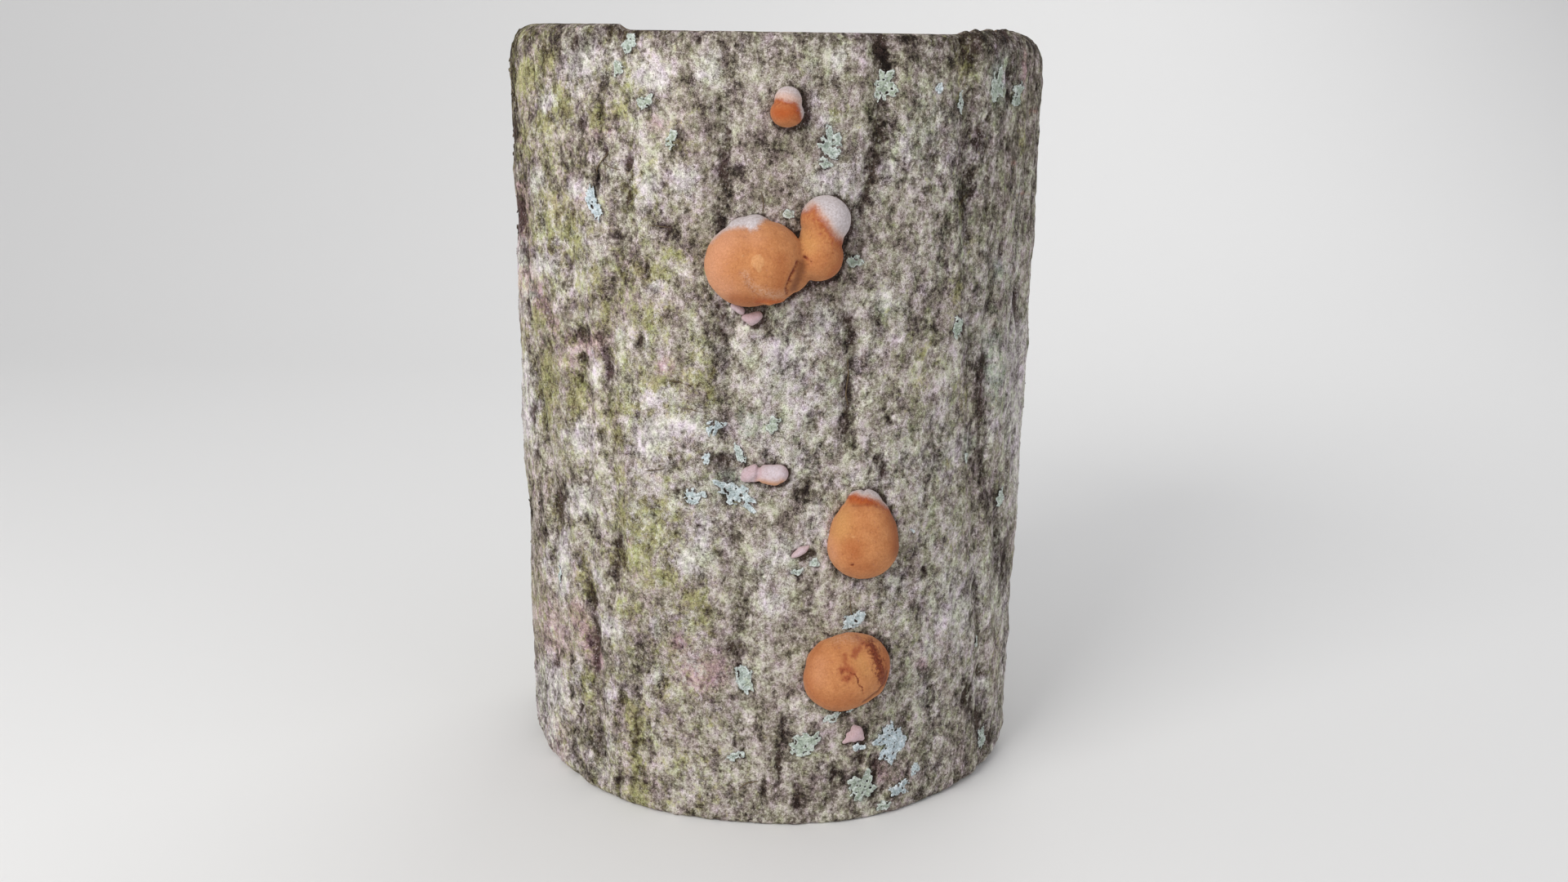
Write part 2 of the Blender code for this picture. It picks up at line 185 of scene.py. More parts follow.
OLIVE_PATCHES = (
    (683, 281, 20, 25, 1.0), (687, 125, 12, 18, 1.0), (778, 233, 10, 14, 0.9), (755, 134, 8, 8, 0.9),
    (670, 75, 8, 10, 0.8), (643, 94, 10, 14, 1.0), (670, 146, 8, 20, 0.8), (732, 146, 8, 12, 0.8),
    (774, 104, 6, 8, 0.7), (641, 163, 6, 10, 0.6), (830, 313, 10, 10, 0.6), (803, 336, 14, 10, 0.8),
    (780, 330, 10, 10, 0.7), (803, 199, 6, 6, 0.8), (694, 302, 12, 12, 0.8), (654, 393, 8, 14, 0.9),
    (666, 467, 10, 30, 1.0), (664, 509, 8, 14, 1.0), (702, 490, 6, 20, 1.0), (727, 340, 8, 14, 0.7),
    (740, 385, 5, 16, 0.8), (799, 389, 10, 12, 0.9), (849, 435, 4, 22, 1.0), (858, 429, 8, 12, 0.9),
    (809, 477, 14, 12, 0.9), (852, 460, 8, 10, 0.9), (830, 505, 16, 10, 0.6), (767, 498, 14, 10, 0.8),
    (759, 534, 8, 8, 0.8), (755, 583, 8, 12, 0.7), (761, 625, 10, 20, 0.8), (799, 625, 30, 12, 0.7),
    (870, 477, 6, 30, 0.9), (709, 697, 5, 14, 0.9), (718, 721, 8, 14, 0.9), (767, 683, 14, 12, 0.9),
    (850, 737, 14, 10, 1.0), (812, 708, 20, 8, 0.8), (767, 750, 8, 6, 0.7), (716, 840, 6, 16, 0.9),
    (785, 891, 8, 14, 0.8), (776, 969, 10, 8, 0.9), (836, 933, 8, 6, 0.7), (843, 762, 20, 6, 0.6),
    (979, 74, 10, 20, 0.5), (1182, 85, 12, 36, 0.6), (1181, 254, 8, 30, 0.6), (1192, 302, 6, 16, 0.7),
    (634, 42, 14, 10, 0.5), (627, 92, 5, 34, 0.6), (637, 176, 7, 16, 0.4), (1254, 160, 4, 24, 0.5),
    (822, 490, 30, 24, 0.3), (785, 650, 30, 30, 0.6),
    (1022, 133, 8, 8, 0.6), (1176, 360, 8, 18, 0.7), (1131, 431, 8, 8, 0.5), (1127, 470, 8, 12, 0.6),
    (1183, 479, 8, 22, 0.5),
)
# Dark patches sink the bark into hollows: their darkness is partly the bark's own colour and partly painted
# shade in those hollows
DARK_PATCHES = (
    (769, 199, 4, 8, 1.4), (742, 188, 3, 6, 1.2), (729, 216, 3, 4, 0.4), (887, 150, 7, 30, 0.3),
    (887, 215, 10, 24, 0.65), (880, 268, 9, 20, 0.7), (835, 167, 5, 20, 0.7), (799, 134, 16, 3, 1.0),
    (704, 56, 4, 8, 0.9), (710, 150, 5, 5, 0.8), (685, 258, 3, 3, 1.0), (816, 278, 8, 3, 0.7),
    (633, 262, 6, 20, 1.0), (641, 300, 3, 6, 1.0), (769, 241, 5, 15, 0.7), (785, 418, 5, 8, 1.1),
    (743, 454, 5, 9, 1.2), (704, 408, 12, 8, 0.8), (736, 414, 3, 6, 0.9), (706, 435, 3, 6, 0.9),
    (820, 380, 3, 6, 0.9), (735, 534, 4, 12, 0.9), (881, 562, 10, 9, 1.0), (830, 600, 8, 8, 0.9),
    (822, 570, 8, 6, 0.8), (664, 654, 4, 8, 1.1), (679, 625, 10, 30, 0.8), (854, 644, 6, 3, 0.9),
    (883, 405, 11, 26, 0.8), (647, 625, 3, 20, 0.8), (649, 593, 4, 8, 0.6), (830, 467, 12, 1.5, 0.8),
    (847, 500, 13, 1.5, 0.7), (839, 555, 8, 1.5, 0.6), (799, 576, 14, 1.5, 0.7), (727, 788, 8, 30, 0.9),
    (675, 813, 4, 6, 0.8), (729, 907, 5, 20, 0.4), (783, 806, 6, 20, 0.5), (781, 851, 6, 20, 0.5),
    (915, 744, 12, 26, 0.5), (892, 793, 7, 8, 1.1), (905, 820, 4, 12, 1.0), (830, 833, 4, 4, 0.9),
    (758, 954, 7, 4, 0.8), (935, 971, 3, 14, 0.9), (752, 680, 6, 26, 0.6), (696, 844, 3, 6, 0.8),
    (895, 661, 4, 20, 0.7), (928, 706, 6, 14, 0.6), (1083, 65, 6, 20, 0.45), (1081, 160, 9, 34, 0.8),
    (1027, 102, 6, 10, 0.6), (1187, 205, 6, 50, 0.15), (1196, 61, 4, 5, 0.4), (1111, 48, 5, 4, 0.6),
    (1150, 107, 3, 3, 0.9), (1237, 118, 4, 8, 1.0), (1202, 161, 4, 10, 0.6), (1065, 40, 16, 5, 0.5),
    (1038, 394, 10, 16, 0.9), (1042, 416, 8, 14, 0.8), (1131, 392, 4, 20, 0.6), (1005, 474, 8, 8, 0.6),
    (996, 518, 8, 14, 0.7), (1116, 438, 6, 16, 0.5), (1185, 405, 3, 10, 1.0), (1209, 470, 5, 30, 0.7),
    (1248, 373, 3, 24, 0.8), (1209, 579, 3, 40, 0.7), (1083, 574, 6, 14, 0.6), (1040, 470, 4, 22, 0.7),
    (1046, 546, 3, 10, 0.7), (1092, 514, 8, 8, 0.5), (1163, 531, 6, 10, 0.5), (986, 598, 10, 16, 0.6),
    (1020, 637, 6, 8, 0.5), (1133, 698, 3, 4, 1.6), (1130, 745, 8, 14, 0.5), (1192, 760, 4, 12, 0.8),
    (1208, 825, 4, 6, 0.8), (1232, 682, 4, 30, 0.7), (958, 897, 3, 12, 0.9), (953, 932, 4, 18, 0.9),
    (976, 979, 5, 18, 0.9), (1023, 941, 5, 8, 0.5), (1201, 879, 4, 14, 0.9), (1212, 905, 4, 8, 0.9),
    (1103, 879, 6, 10, 0.4), (1067, 950, 4, 20, 1.0), (1052, 928, 6, 6, 0.8), (623, 120, 4, 14, 0.8),
    (626, 160, 3, 24, 0.9), (676, 32, 9, 5, 0.5), (1200, 50, 8, 10, 0.2), (1240, 45, 10, 8, 0.3),
    (1222, 108, 3, 16, 0.7), (1237, 95, 4, 10, 0.8),
)
PINK_PATCHES = (
    (816, 448, 10, 10, 1.0), (721, 431, 8, 6, 0.9), (801, 585, 10, 6, 0.6), (774, 662, 5, 4, 1.3),
    (857, 824, 24, 20, 1.2), (834, 788, 12, 12, 1.1), (874, 817, 8, 8, 1.2), (727, 808, 4, 5, 1.3),
    (710, 237, 8, 10, 0.7), (738, 161, 14, 10, 0.5), (805, 150, 14, 10, 0.5), (633, 171, 4, 8, 1.0),
    (826, 218, 5, 6, 0.7), (1130, 814, 8, 8, 0.9), (690, 440, 18, 14, 0.4), (640, 330, 8, 30, 0.8),
    (1082, 945, 12, 12, 0.4), (1136, 712, 6, 8, 0.6), (674, 800, 14, 60, 0.5), (1256, 80, 2, 20, 1.0),
    (674, 905, 18, 40, 0.6),
)
RUST_PATCHES = (
    (1244, 200, 4, 5, 0.7), (1255, 238, 7, 3, 0.8), (1268, 135, 3, 5, 0.5), (705, 42, 3, 4, 0.6),
    (1257, 80, 1.5, 20, 0.4),
)
MINT_PATCHES = (
    (759, 408, 8, 8, 0.7), (921, 519, 14, 14, 0.8), (960, 438, 14, 14, 0.6), (1222, 450, 12, 40, 0.7),
    (1226, 330, 5, 10, 0.6), (1189, 546, 12, 14, 0.6), (1080, 375, 10, 10, 0.5), (1181, 254, 8, 30, 0.5),
    (1225, 100, 8, 22, 0.8), (1085, 905, 16, 12, 0.7), (1055, 965, 16, 12, 0.7), (890, 590, 18, 12, 0.6),
)
PATCHES = {
    "pale": PALE_PATCHES,
    "olive": OLIVE_PATCHES,
    "dark": DARK_PATCHES,
    "pink": PINK_PATCHES,
    "rust": RUST_PATCHES,
    "mint": MINT_PATCHES,
}
PATCH_FALL = 0.7
# The photograph sees the bark up to between these turns
SEEN_TURNS = (80.0, 92.0)

# Furrows and drifts of colour that run on for longer: path and half width in pixels
Streak = namedtuple("Streak", "kind path half_width amount")
# The dark streaks are partly the bark's own colour and partly painted shade down its furrows
STREAKS = (
    Streak("dark", ((1087, 70), (1090, 100), (1081, 150), (1078, 195)), 7.0, 0.6),
    Streak("dark", ((1074, 205), (1064, 232), (1056, 262)), 5.0, 0.5),
    Streak("dark", ((1043, 380), (1042, 440), (1040, 500), (1036, 545)), 5.0, 0.45),
    Streak("dark", ((886, 130), (892, 180), (891, 262)), 7.0, 0.4),
    Streak("dark", ((886, 382), (888, 450), (884, 520)), 5.0, 0.3),
    Streak("dark", ((637, 200), (639, 300), (647, 340), (662, 372), (677, 400)), 5.0, 0.6),
    Streak("pink", ((637, 230), (640, 310), (648, 345), (664, 376), (680, 402)), 8.0, 0.9),
    Streak("dark", ((684, 408), (702, 420), (730, 414), (744, 440), (746, 460)), 5.0, 0.5),
    Streak("pink", ((690, 412), (704, 422), (732, 416)), 9.0, 0.6),
    Streak("dark", ((706, 680), (714, 715), (722, 755), (726, 792)), 5.5, 0.7),
    Streak("dark", ((656, 588), (662, 640), (668, 684)), 4.5, 0.6),
    Streak("pink", ((700, 745), (722, 790), (728, 812)), 8.0, 0.9),
    Streak("dark", ((728, 800), (733, 835), (742, 874)), 5.0, 0.45),
    Streak("dark", ((648, 498), (652, 530), (656, 560)), 4.0, 0.6),
    Streak("olive", ((776, 868), (778, 920), (782, 978)), 8.0, 0.8),
    Streak("dark", ((778, 872), (777, 925)), 4.0, 0.45),
    Streak("dark", ((1182, 420), (1181, 480), (1178, 560)), 4.0, 0.35),
    Streak("dark", ((1206, 470), (1207, 560), (1213, 640)), 5.0, 0.6),
    Streak("dark", ((1226, 560), (1224, 640), (1226, 720)), 3.0, 0.5),
    Streak("dark", ((1186, 760), (1190, 830), (1196, 900)), 3.0, 0.3),
    Streak("dark", ((625, 60), (621, 115), (625, 200)), 7.0, 0.5),
    Streak("dark", ((906, 690), (913, 745), (901, 800), (914, 842)), 6.0, 0.35),
)
STREAK_WANDER = Relief(5.0, 2.4, 2, 0.6, 103.0)

# Broad parts of the bark: the turns in degrees, or heights in mm, between which each sets in
LEFT_TURNS = (2.0, 26.0)
RIGHT_TURNS = (2.0, 30.0)
SIDE_END_TURNS = (95.0, 150.0)
BEHIND_TURNS = (95.0, 130.0)
UPPER_LEFT_TURNS = (12.0, 44.0)
UPPER_RIGHT_TURNS = (20.0, 34.0)
LOWER_RIGHT_TURNS = (10.0, 30.0)
UPPER_HEIGHTS = (230.0, 300.0)
RIM_HEIGHTS = (350.0, 365.0)
FOOT_HEIGHTS = (30.0, 80.0)
MIDDLE_TURN = 2.0
MIDDLE_TURN_REACH = 14.0
MIDDLE_HEIGHT = 215.0
MIDDLE_HEIGHT_REACH = 45.0
ALGAE_DRIFT = Relief(46.0, 2.0, 2, 1.0, 61.0)
PALE_VEIL = Relief(30.0, 1.6, 2, 1.0, 71.0)
FURROW_SHADE = Relief(8.0, 2.0, 2, 1.2, 97.0)
# How much of each kind of colour lies on each of these parts
BROAD_AMOUNTS = {
    "olive": {"left": 0.34, "right": 0.14, "behind": 0.28, "drift_behind": 0.5, "drift": 0.16},
    "pale": {
        "everywhere": 0.14, "left": 0.12, "lower_right": 0.18, "veil": 0.26, "behind": 0.10, "middle": 0.42,
    },
    "mint": {"right": 0.20, "everywhere": 0.08, "veil": 0.16, "behind": 0.12, "middle": 0.24},
    "pink": {"left": 0.20, "everywhere": 0.10, "veil": -0.16},
    # The dark amounts make the bark darker on its upper left and right, a little on its right, along its top
    # rim and at its foot
    "dark": {"upper_right": 0.24, "right": 0.05, "upper_left": 0.2, "rim": 0.42, "foot": 0.22},
}
# Painted shade in furrows, cracks, low places and the lines between strands: how dark each makes the bark
FURROW_SHADING = 0.02
FURROW_PATCH_SHADING = 0.34
CRACK_SHADING = 0.45
LOW_SHADING = 0.35
STRAND_SHADING = 0.35
DARKEST = 1.3

# The fungi: a lobe is a ball stretched along the bark sideways, up and out of it, sizes in mm
Lobe = namedtuple("Lobe", "turn height out half_side half_up half_out tilt")
FUNGI = {
    "bracket_twin": (
        Lobe(-4.5, 271.6, 3.0, 19.2, 18.2, 18.0, 0),
        Lobe(-1.4, 272.4, 4.0, 17.0, 17.9, 18.0, 0),
        Lobe(-3.4, 284.6, 1.5, 8.4, 8.2, 11.0, 0),
        Lobe(-5.4, 284.4, 1.4, 8.0, 7.2, 10.8, 0),
        Lobe(3.0, 271.6, 2.0, 9.4, 12.2, 12.8, 12),
        Lobe(8.5, 275.3, 1.5, 10.8, 10.8, 13.5, 0),
        Lobe(9.2, 283.5, 1.0, 9.4, 8.6, 12.0, 0),
        Lobe(9.9, 290.8, 1.0, 10.9, 10.3, 12.5, 0),
    ),
    "bracket_pear": (
        Lobe(18.5, 142.7, 3.0, 16.7, 15.9, 15.5, 0),
        Lobe(18.6, 148.4, 2.5, 15.7, 14.6, 15.1, 0),
        Lobe(18.9, 153.4, 1.8, 12.7, 12.4, 14.0, 0),
        Lobe(18.9, 158.6, 1.0, 9.7, 8.6, 11.0, 0),
        Lobe(19.1, 163.6, 0.0, 8.0, 4.8, 7.5, -8),
    ),
    "bracket_round": (
        Lobe(17.5, 82.9, 2.5, 16.9, 15.3, 14.5, 0),
        Lobe(15.6, 80.4, 3.0, 18.5, 17.9, 15.0, 0),
        Lobe(14.2, 77.5, 3.0, 17.6, 15.9, 14.5, 0),
        Lobe(14.3, 83.6, 2.4, 16.4, 14.8, 14.2, 0),
        Lobe(15.8, 85.2, 2.2, 15.0, 14.2, 13.6, 0),
        Lobe(18.9, 78.2, 2.2, 13.1, 13.3, 12.4, 0),
    ),
    "bracket_bud": (
        Lobe(2.4, 335.3, 1.5, 7.1, 6.0, 8.5, 0),
        Lobe(2.6, 340.0, 0.5, 5.9, 6.2, 6.8, 0),
    ),
    "buds_pair": (
        Lobe(-5.2, 174.9, 0.2, 2.6, 2.0, 2.6, 15),
        Lobe(-4.5, 176.6, 0.5, 3.8, 3.5, 4.3, 25),
        Lobe(-3.7, 177.6, 0.5, 3.3, 3.5, 4.2, 0),
        Lobe(-3.5, 179.0, 0.4, 2.2, 2.4, 3.4, 0),
        Lobe(-3.4, 175.4, 0.4, 2.8, 2.4, 3.6, 0),
        Lobe(-1.3, 177.0, 1.0, 4.2, 4.2, 5.0, 0),
        Lobe(-0.4, 176.8, 1.0, 4.4, 4.5, 5.2, 0),
        Lobe(0.4, 176.6, 1.0, 4.3, 4.6, 5.3, 0),
        Lobe(1.3, 177.3, 1.0, 4.5, 4.1, 5.3, 0),
    ),
    "bud_under_left": (
        Lobe(-7.2, 252.5, 0.4, 2.4, 1.7, 2.9, -25),
        Lobe(-6.4, 251.3, 0.4, 2.6, 1.8, 3.0, -35),
        Lobe(-6.0, 250.2, 0.2, 1.4, 1.4, 2.2, 0),
    ),
    "bud_under_right": (
        Lobe(-4.9, 247.8, 0.2, 2.8, 1.9, 3.0, 0),
        Lobe(-3.9, 247.5, 0.5, 3.4, 2.7, 3.8, 12),
        Lobe(-3.1, 248.5, 0.3, 2.6, 2.2, 3.2, 20),
        Lobe(-4.1, 246.2, 0.1, 2.0, 2.0, 2.8, 0),
    ),
    "bud_sliver": (
        Lobe(5.8, 140.0, 0.2, 5.2, 1.7, 2.6, 33),
        Lobe(6.2, 140.8, 0.2, 2.8, 1.9, 2.7, 20),
    ),
    "bud_wedge": (
        Lobe(16.0, 43.4, 0.0, 2.2, 1.5, 2.1, 25),
        Lobe(16.7, 44.2, 0.0, 2.3, 2.0, 2.4, 20),
        Lobe(19.6, 44.2, 0.1, 2.2, 2.0, 2.4, 0),
        Lobe(17.1, 45.8, 0.1, 2.4, 2.6, 2.6, 30),
        Lobe(17.9, 45.4, 0.3, 3.4, 3.1, 3.1, 0),
        Lobe(19.0, 46.0, 0.2, 2.8, 3.4, 3.0, 0),
        Lobe(18.6, 47.6, 0.3, 3.1, 3.4, 3.0, 0),
        Lobe(18.1, 48.8, 0.1, 2.5, 2.6, 2.6, 0),
    ),
}
# A notched lip that the twin bracket has grown along its lower edge
TWIN_LIP = (
    Lobe(-2.5, 258.0, 11.2, 2.5, 1.9, 2.6, 20),
    Lobe(-1.5, 257.7, 12.0, 2.1, 1.6, 2.6, -10),
    Lobe(-0.6, 257.4, 12.1, 2.4, 1.9, 2.6, 15),
    Lobe(0.4, 257.8, 11.8, 2.0, 1.5, 2.5, -10),
    Lobe(1.3, 258.2, 11.0, 2.4, 1.6, 2.4, 10),
)
LARGE_VOXEL = 0.5 * MM
SMALL_VOXEL = 0.25 * MM
# Steps that soften the large fungi, which have the larger voxels, and all others
LARGE_SOFTEN_STEPS = {"bracket_twin": 24, "bracket_pear": 90, "bracket_round": 90}
SMALL_SOFTEN_STEPS = 24
ROOT_DEPTH = 2.5 * MM
MARGIN_REACH = 2.2 * MM
MARGIN_START = 0.4 * MARGIN_REACH
FLESH_SWELL = Relief(7.0, 1.0, 2, 0.24 * MM, 41.0)
FLESH_PIMPLES = Relief(1.5, 1.0, 2, 0.07 * MM, 47.0)
SMALL_RELIEF_SHARE = 0.6

# Marks on the fungi. Paths and widths are in pixels of the photograph, where the marks show.
# An edge parts the pale bloom above it from the flesh below, between two limits from left to right;
# its band is the redder flesh just under it.
Edge = namedtuple("Edge", "path feather band amount left right")
BLOOM_EDGES = {
    "bracket_twin": (
        Edge(
            ((974, 258.5), (982, 257), (988, 256), (994, 253.5), (999, 251), (1002, 257), (1004, 263),
             (1009, 268), (1013, 272), (1016, 278), (1021, 285), (1026, 291), (1042, 297)),
            9.5, 11.0, 1.0, 972, 1080,
        ),
        Edge(
            ((868, 297), (884, 283), (897, 279.5), (906, 277.5), (914, 278.5), (920, 281.5),
             (926, 279.5), (930, 274), (937, 268), (948, 258)),
            7.5, 0.0, 1.0, 820, 952,
        ),
    ),
    "bracket_pear": (
        Edge(
            ((1030, 607), (1041, 605.5), (1046, 604), (1051, 605.5), (1056, 608), (1062, 608.5), (1068, 611),
             (1075, 612.5), (1081, 617), (1092, 624)),
            5.0, 7.0, 0.9, 1020, 1110,
        ),
    ),
    "bracket_bud": (
        Edge(
            ((936, 125), (952, 121), (957, 121.5), (962, 123.5), (967, 125), (972, 124.5), (977, 128),
             (980, 136), (983, 150)),
            4.6, 7.0, 0.85, 930, 1000,
        ),
    ),
}

# A groove is a soft line pressed into the flesh, and a scar is the colour of an old one
Mark = namedtuple("Mark", "kind path half_width depth amount")
MARKS = {
    "bracket_twin": (
        Mark("flush", ((992, 252), (1002, 260), (1010, 270), (1018, 282), (1028, 293)), 6.5, 0.0, 0.9),
        Mark("spot", ((927.4, 319.4), (927.6, 321.6)), 8.0, -0.1 * MM, 1.0),
        Mark("spot", ((928.6, 328.0), (929.4, 330.4)), 3.2, -0.1 * MM, 1.0),
        Mark("spot", ((909.4, 313.4), (909.6, 313.7)), 1.4, -0.1 * MM, 1.0),
        Mark(
            "shade", ((978, 319), (975, 328), (969, 337), (966, 346), (962.5, 355), (964, 360)),
            2.4, 0.6 * MM, 0.5,
        ),
        Mark(
            "scar", ((977, 321), (974, 329), (969, 337), (966, 345), (963.5, 353), (964, 360)),
            2.1, 0.3 * MM, 0.7,
        ),
        Mark("ruddy", ((958, 318), (958, 334), (954, 350)), 10.0, 0.0, 0.6),
        Mark("shade", ((982, 324), (978, 340), (972, 354)), 7.5, 0.2 * MM, 0.75),
        Mark("scar", ((985, 314.5), (989, 316.5), (992.5, 320)), 2.2, 0.4 * MM, 0.68),
        Mark("stain", ((984, 314), (989, 317), (994, 321)), 4.0, 0.0, 0.6),
        Mark("gold", ((984, 290), (991, 301)), 12.0, 0.0, 0.9),
        Mark("ruddy", ((1006, 322), (1016, 318)), 13.0, 0.0, 0.4),
        # Ruddy flesh and painted shade along the lower lobe's right rim, away from the light, with a deeper
        # painted shade at its top
        Mark("ruddy", ((1029, 299), (1032, 312), (1028, 326), (1017, 337)), 6.5, 0.0, 0.9),
        Mark("shade", ((1031, 297), (1033, 306)), 4.0, 0.0, 0.7),
        Mark(
            "frost", ((912, 336), (917, 347), (925, 354), (936, 358.5), (948, 361), (958, 361)),
            5.5, 0.0, 0.6,
        ),
        Mark("shade", ((914, 345), (919, 353), (925, 359), (930, 364)), 1.8, 0.3 * MM, 0.35),
        Mark("ruddy", ((898, 366), (912, 368), (925, 369)), 8.0, 0.0, 0.85),
        Mark("ember", ((928, 370), (936, 368), (945, 369.5), (959, 370.5)), 4.0, 0.0, 0.9),
        Mark("salmon", ((890, 292), (872, 318), (872, 342), (890, 360)), 18.0, 0.0, 0.9),
        Mark("salmon", ((905, 284), (925, 292)), 12.0, 0.0, 0.55),
    ),
    "bracket_pear": (
        Mark("spot", ((1044, 657), (1046, 657.5)), 1.5, -0.1 * MM, 0.8),
        Mark("scar", ((1042, 691.5), (1045, 691.8)), 1.3, 0.4 * MM, 0.9),
        Mark(
            "shade", ((1044, 618), (1055, 618.5), (1065, 616.5), (1074, 618), (1083, 622)),
            2.8, 0.4 * MM, 0.45,
        ),
        Mark("ember", ((1043, 611), (1054, 614), (1066, 614)), 6.0, 0.0, 0.9),
        Mark("flush", ((1050, 606), (1062, 609), (1078, 615)), 5.0, 0.0, 0.6),
        Mark("groove", ((1058, 590), (1058, 602)), 2.6, 0.9 * MM, 0.0),
        Mark("ruddy", ((1044, 668), (1047, 678)), 11.0, 0.0, 0.75),
        Mark("ruddy", ((1046, 692), (1064, 695)), 11.0, 0.0, 0.55),
        Mark("gold", ((1030, 634), (1030, 650)), 15.0, 0.0, 0.9),
        Mark("salmon", ((1017, 662), (1020, 680)), 7.0, 0.0, 0.6),
        # Painted shade down the pear's right side, away from the light: ruddy, then darker at the edge
        Mark("ruddy", ((1094, 632), (1099, 650), (1097, 672)), 9.0, 0.0, 1.0),
        Mark("dusk", ((1098, 632), (1105, 652), (1101, 680)), 8.0, 0.0, 0.8),
    ),
    "bracket_round": (
        Mark("scar", ((1066, 788), (1071, 798), (1075, 808), (1079, 820), (1082, 833)), 8.0, 0.1 * MM, 0.85),
        Mark("scar", ((1070, 796), (1074, 806), (1078, 818)), 4.5, 0.1 * MM, 1.0),
        Mark("stain", ((1050, 780), (1056, 788), (1064, 791)), 5.0, 0.1 * MM, 0.75),
        Mark("stain", ((1046, 803), (1048, 798), (1052, 793)), 5.4, 0.1 * MM, 0.95),
        Mark("stain", ((1034, 803), (1035, 811), (1039, 817)), 4.2, 0.1 * MM, 0.75),
        Mark("stain", ((1031, 820), (1038, 820), (1044, 825), (1036, 831)), 6.0, 0.1 * MM, 1.0),
        Mark("scar", ((1031, 822), (1037, 823), (1041, 828), (1036, 832)), 4.6, 0.1 * MM, 0.42),
        Mark(
            "scar",
            ((1042, 824), (1045, 826), (1047, 826), (1051, 833), (1050.5, 838), (1056, 842), (1057, 849)),
            1.3, 0.3 * MM, 0.8,
        ),
        Mark("shade", ((1057, 860), (1067, 853), (1076, 846), (1083, 836), (1087, 822)), 1.5, 0.4 * MM, 0.8),
        Mark("gold", ((1052, 806), (1060, 822)), 9.0, 0.0, 0.6),
        Mark("frost", ((1024, 783), (1036, 780), (1048, 783)), 6.0, 0.0, 0.4),
        Mark("ruddy", ((1018, 863), (1045, 858)), 11.0, 0.0, 0.5),
        # Ruddy flesh and painted shade down the round bracket's right rim, away from the light
        Mark("ruddy", ((1085, 795), (1088, 815), (1084, 836)), 7.0, 0.0, 0.9),
        Mark("ruddy", ((1000, 792), (988, 810), (986, 830), (994, 850), (1010, 862)), 7.0, 0.0, 0.6),
        Mark("salmon", ((1004, 812), (1002, 832)), 12.0, 0.0, 0.4),
    ),
    "bracket_bud": (
        Mark("ember", ((951, 138), (962, 139), (972, 136)), 11.0, 0.0, 0.95),
        Mark("ruddy", ((954, 142), (958, 138)), 6.0, 0.0, 0.6),
        Mark("flush", ((954, 119), (966, 120), (976, 124)), 7.0, 0.0, 0.9),
    ),
    "buds_pair": (
        Mark("blush", ((931, 591), (942, 593), (953, 594), (958, 591)), 4.6, 0.0, 0.9),
        Mark("rosy", ((962, 572), (967, 580), (965, 588)), 3.6, 0.0, 0.8),
        Mark("rosy", ((911, 585), (918, 578), (925, 572)), 10.0, 0.0, 0.9),
        Mark("rosy", ((925, 588), (930, 580), (930, 570)), 3.0, 0.5 * MM, 1.0),
    ),
    "bud_under_left": (Mark("rosy", ((898, 374), (908, 382)), 10.0, 0.0, 0.6),),
    "bud_under_right": (Mark("rosy", ((914, 390), (928, 388)), 13.0, 0.0, 1.0),),
    "bud_sliver": (Mark("rosy", ((974, 680), (986, 672)), 10.0, 0.0, 0.6),),
    "bud_wedge": (Mark("rosy", ((1040, 904), (1050, 897)), 18.0, 0.0, 1.0),),
}
MARK_KINDS = (
    "scar", "stain", "shade", "spot", "frost", "gold", "salmon",
    "ruddy", "ember", "blush", "rosy", "flush", "dusk",
)
NARROW_KINDS = ("scar", "shade", "spot", "groove", "frost", "ember")
EDGE_KINDS = ("bloom", "band")
# How squarely flesh has to face the camera to show narrow marks, and how uneven edges are: a spot's by a
# share of its half width, a bloom's by pixels
FACING_LEVELS = (0.02, 0.3)
MARK_EDGES = Relief(1.1, 1.0, 3, 1.0, 53.0)
SPOT_UNEVEN = 0.1
SPOT_EDGE = (0.84, 1.12)
BLOOM_UNEVEN = 1.1
BLOOM_END_FADE = 3
BAND_START = 1.6

# The leafy lichens that have solids of their own, coloured from 0 for mint to 1 for pale blue
Lichen = namedtuple("Lichen", "turn height radius stretch tilt lobes blue")
LICHENS = (
    Lichen(21.4, 346.4, 5.6, 1.5, 75, 7, 0.1),
    Lichen(10.7, 322.2, 5.8, 1.4, 120, 7, 0.3),
    Lichen(50.2, 345.5, 5.2, 1.8, 92, 7, 0.2),
    Lichen(59.5, 341.5, 6.0, 1.2, 60, 7, 0.2),
    Lichen(-37.6, 293.4, 4.6, 1.9, 115, 6, 1.0),
    Lichen(-7.4, 166.5, 5.6, 1.9, 150, 8, 0.8),
    Lichen(-16.4, 164.8, 4.4, 1.0, 0, 6, 0.8),
    Lichen(17.0, 105.5, 4.6, 1.5, 25, 6, 0.8),
    Lichen(7.2, 44.4, 6.6, 1.3, 15, 8, 0.2),
    Lichen(26.6, 39.6, 9.2, 1.2, 100, 9, 1.0),
    Lichen(20.2, 17.8, 7.8, 1.1, 0, 8, 0.2),
    Lichen(29.4, 12.8, 4.8, 1.6, 10, 6, 0.9),
    Lichen(41.3, 239.5, 4.4, 1.5, 90, 6, 0.2),
    Lichen(-5.8, 76.0, 4.6, 1.7, 110, 6, 0.4),
    Lichen(112.0, 246.0, 8.0, 1.3, 60, 8, 0.3),
    Lichen(171.0, 118.0, 9.0, 1.2, 20, 9, 0.4),
    Lichen(236.0, 205.0, 8.2, 1.3, 130, 8, 0.2),
)
ROSETTE_SEED = 100
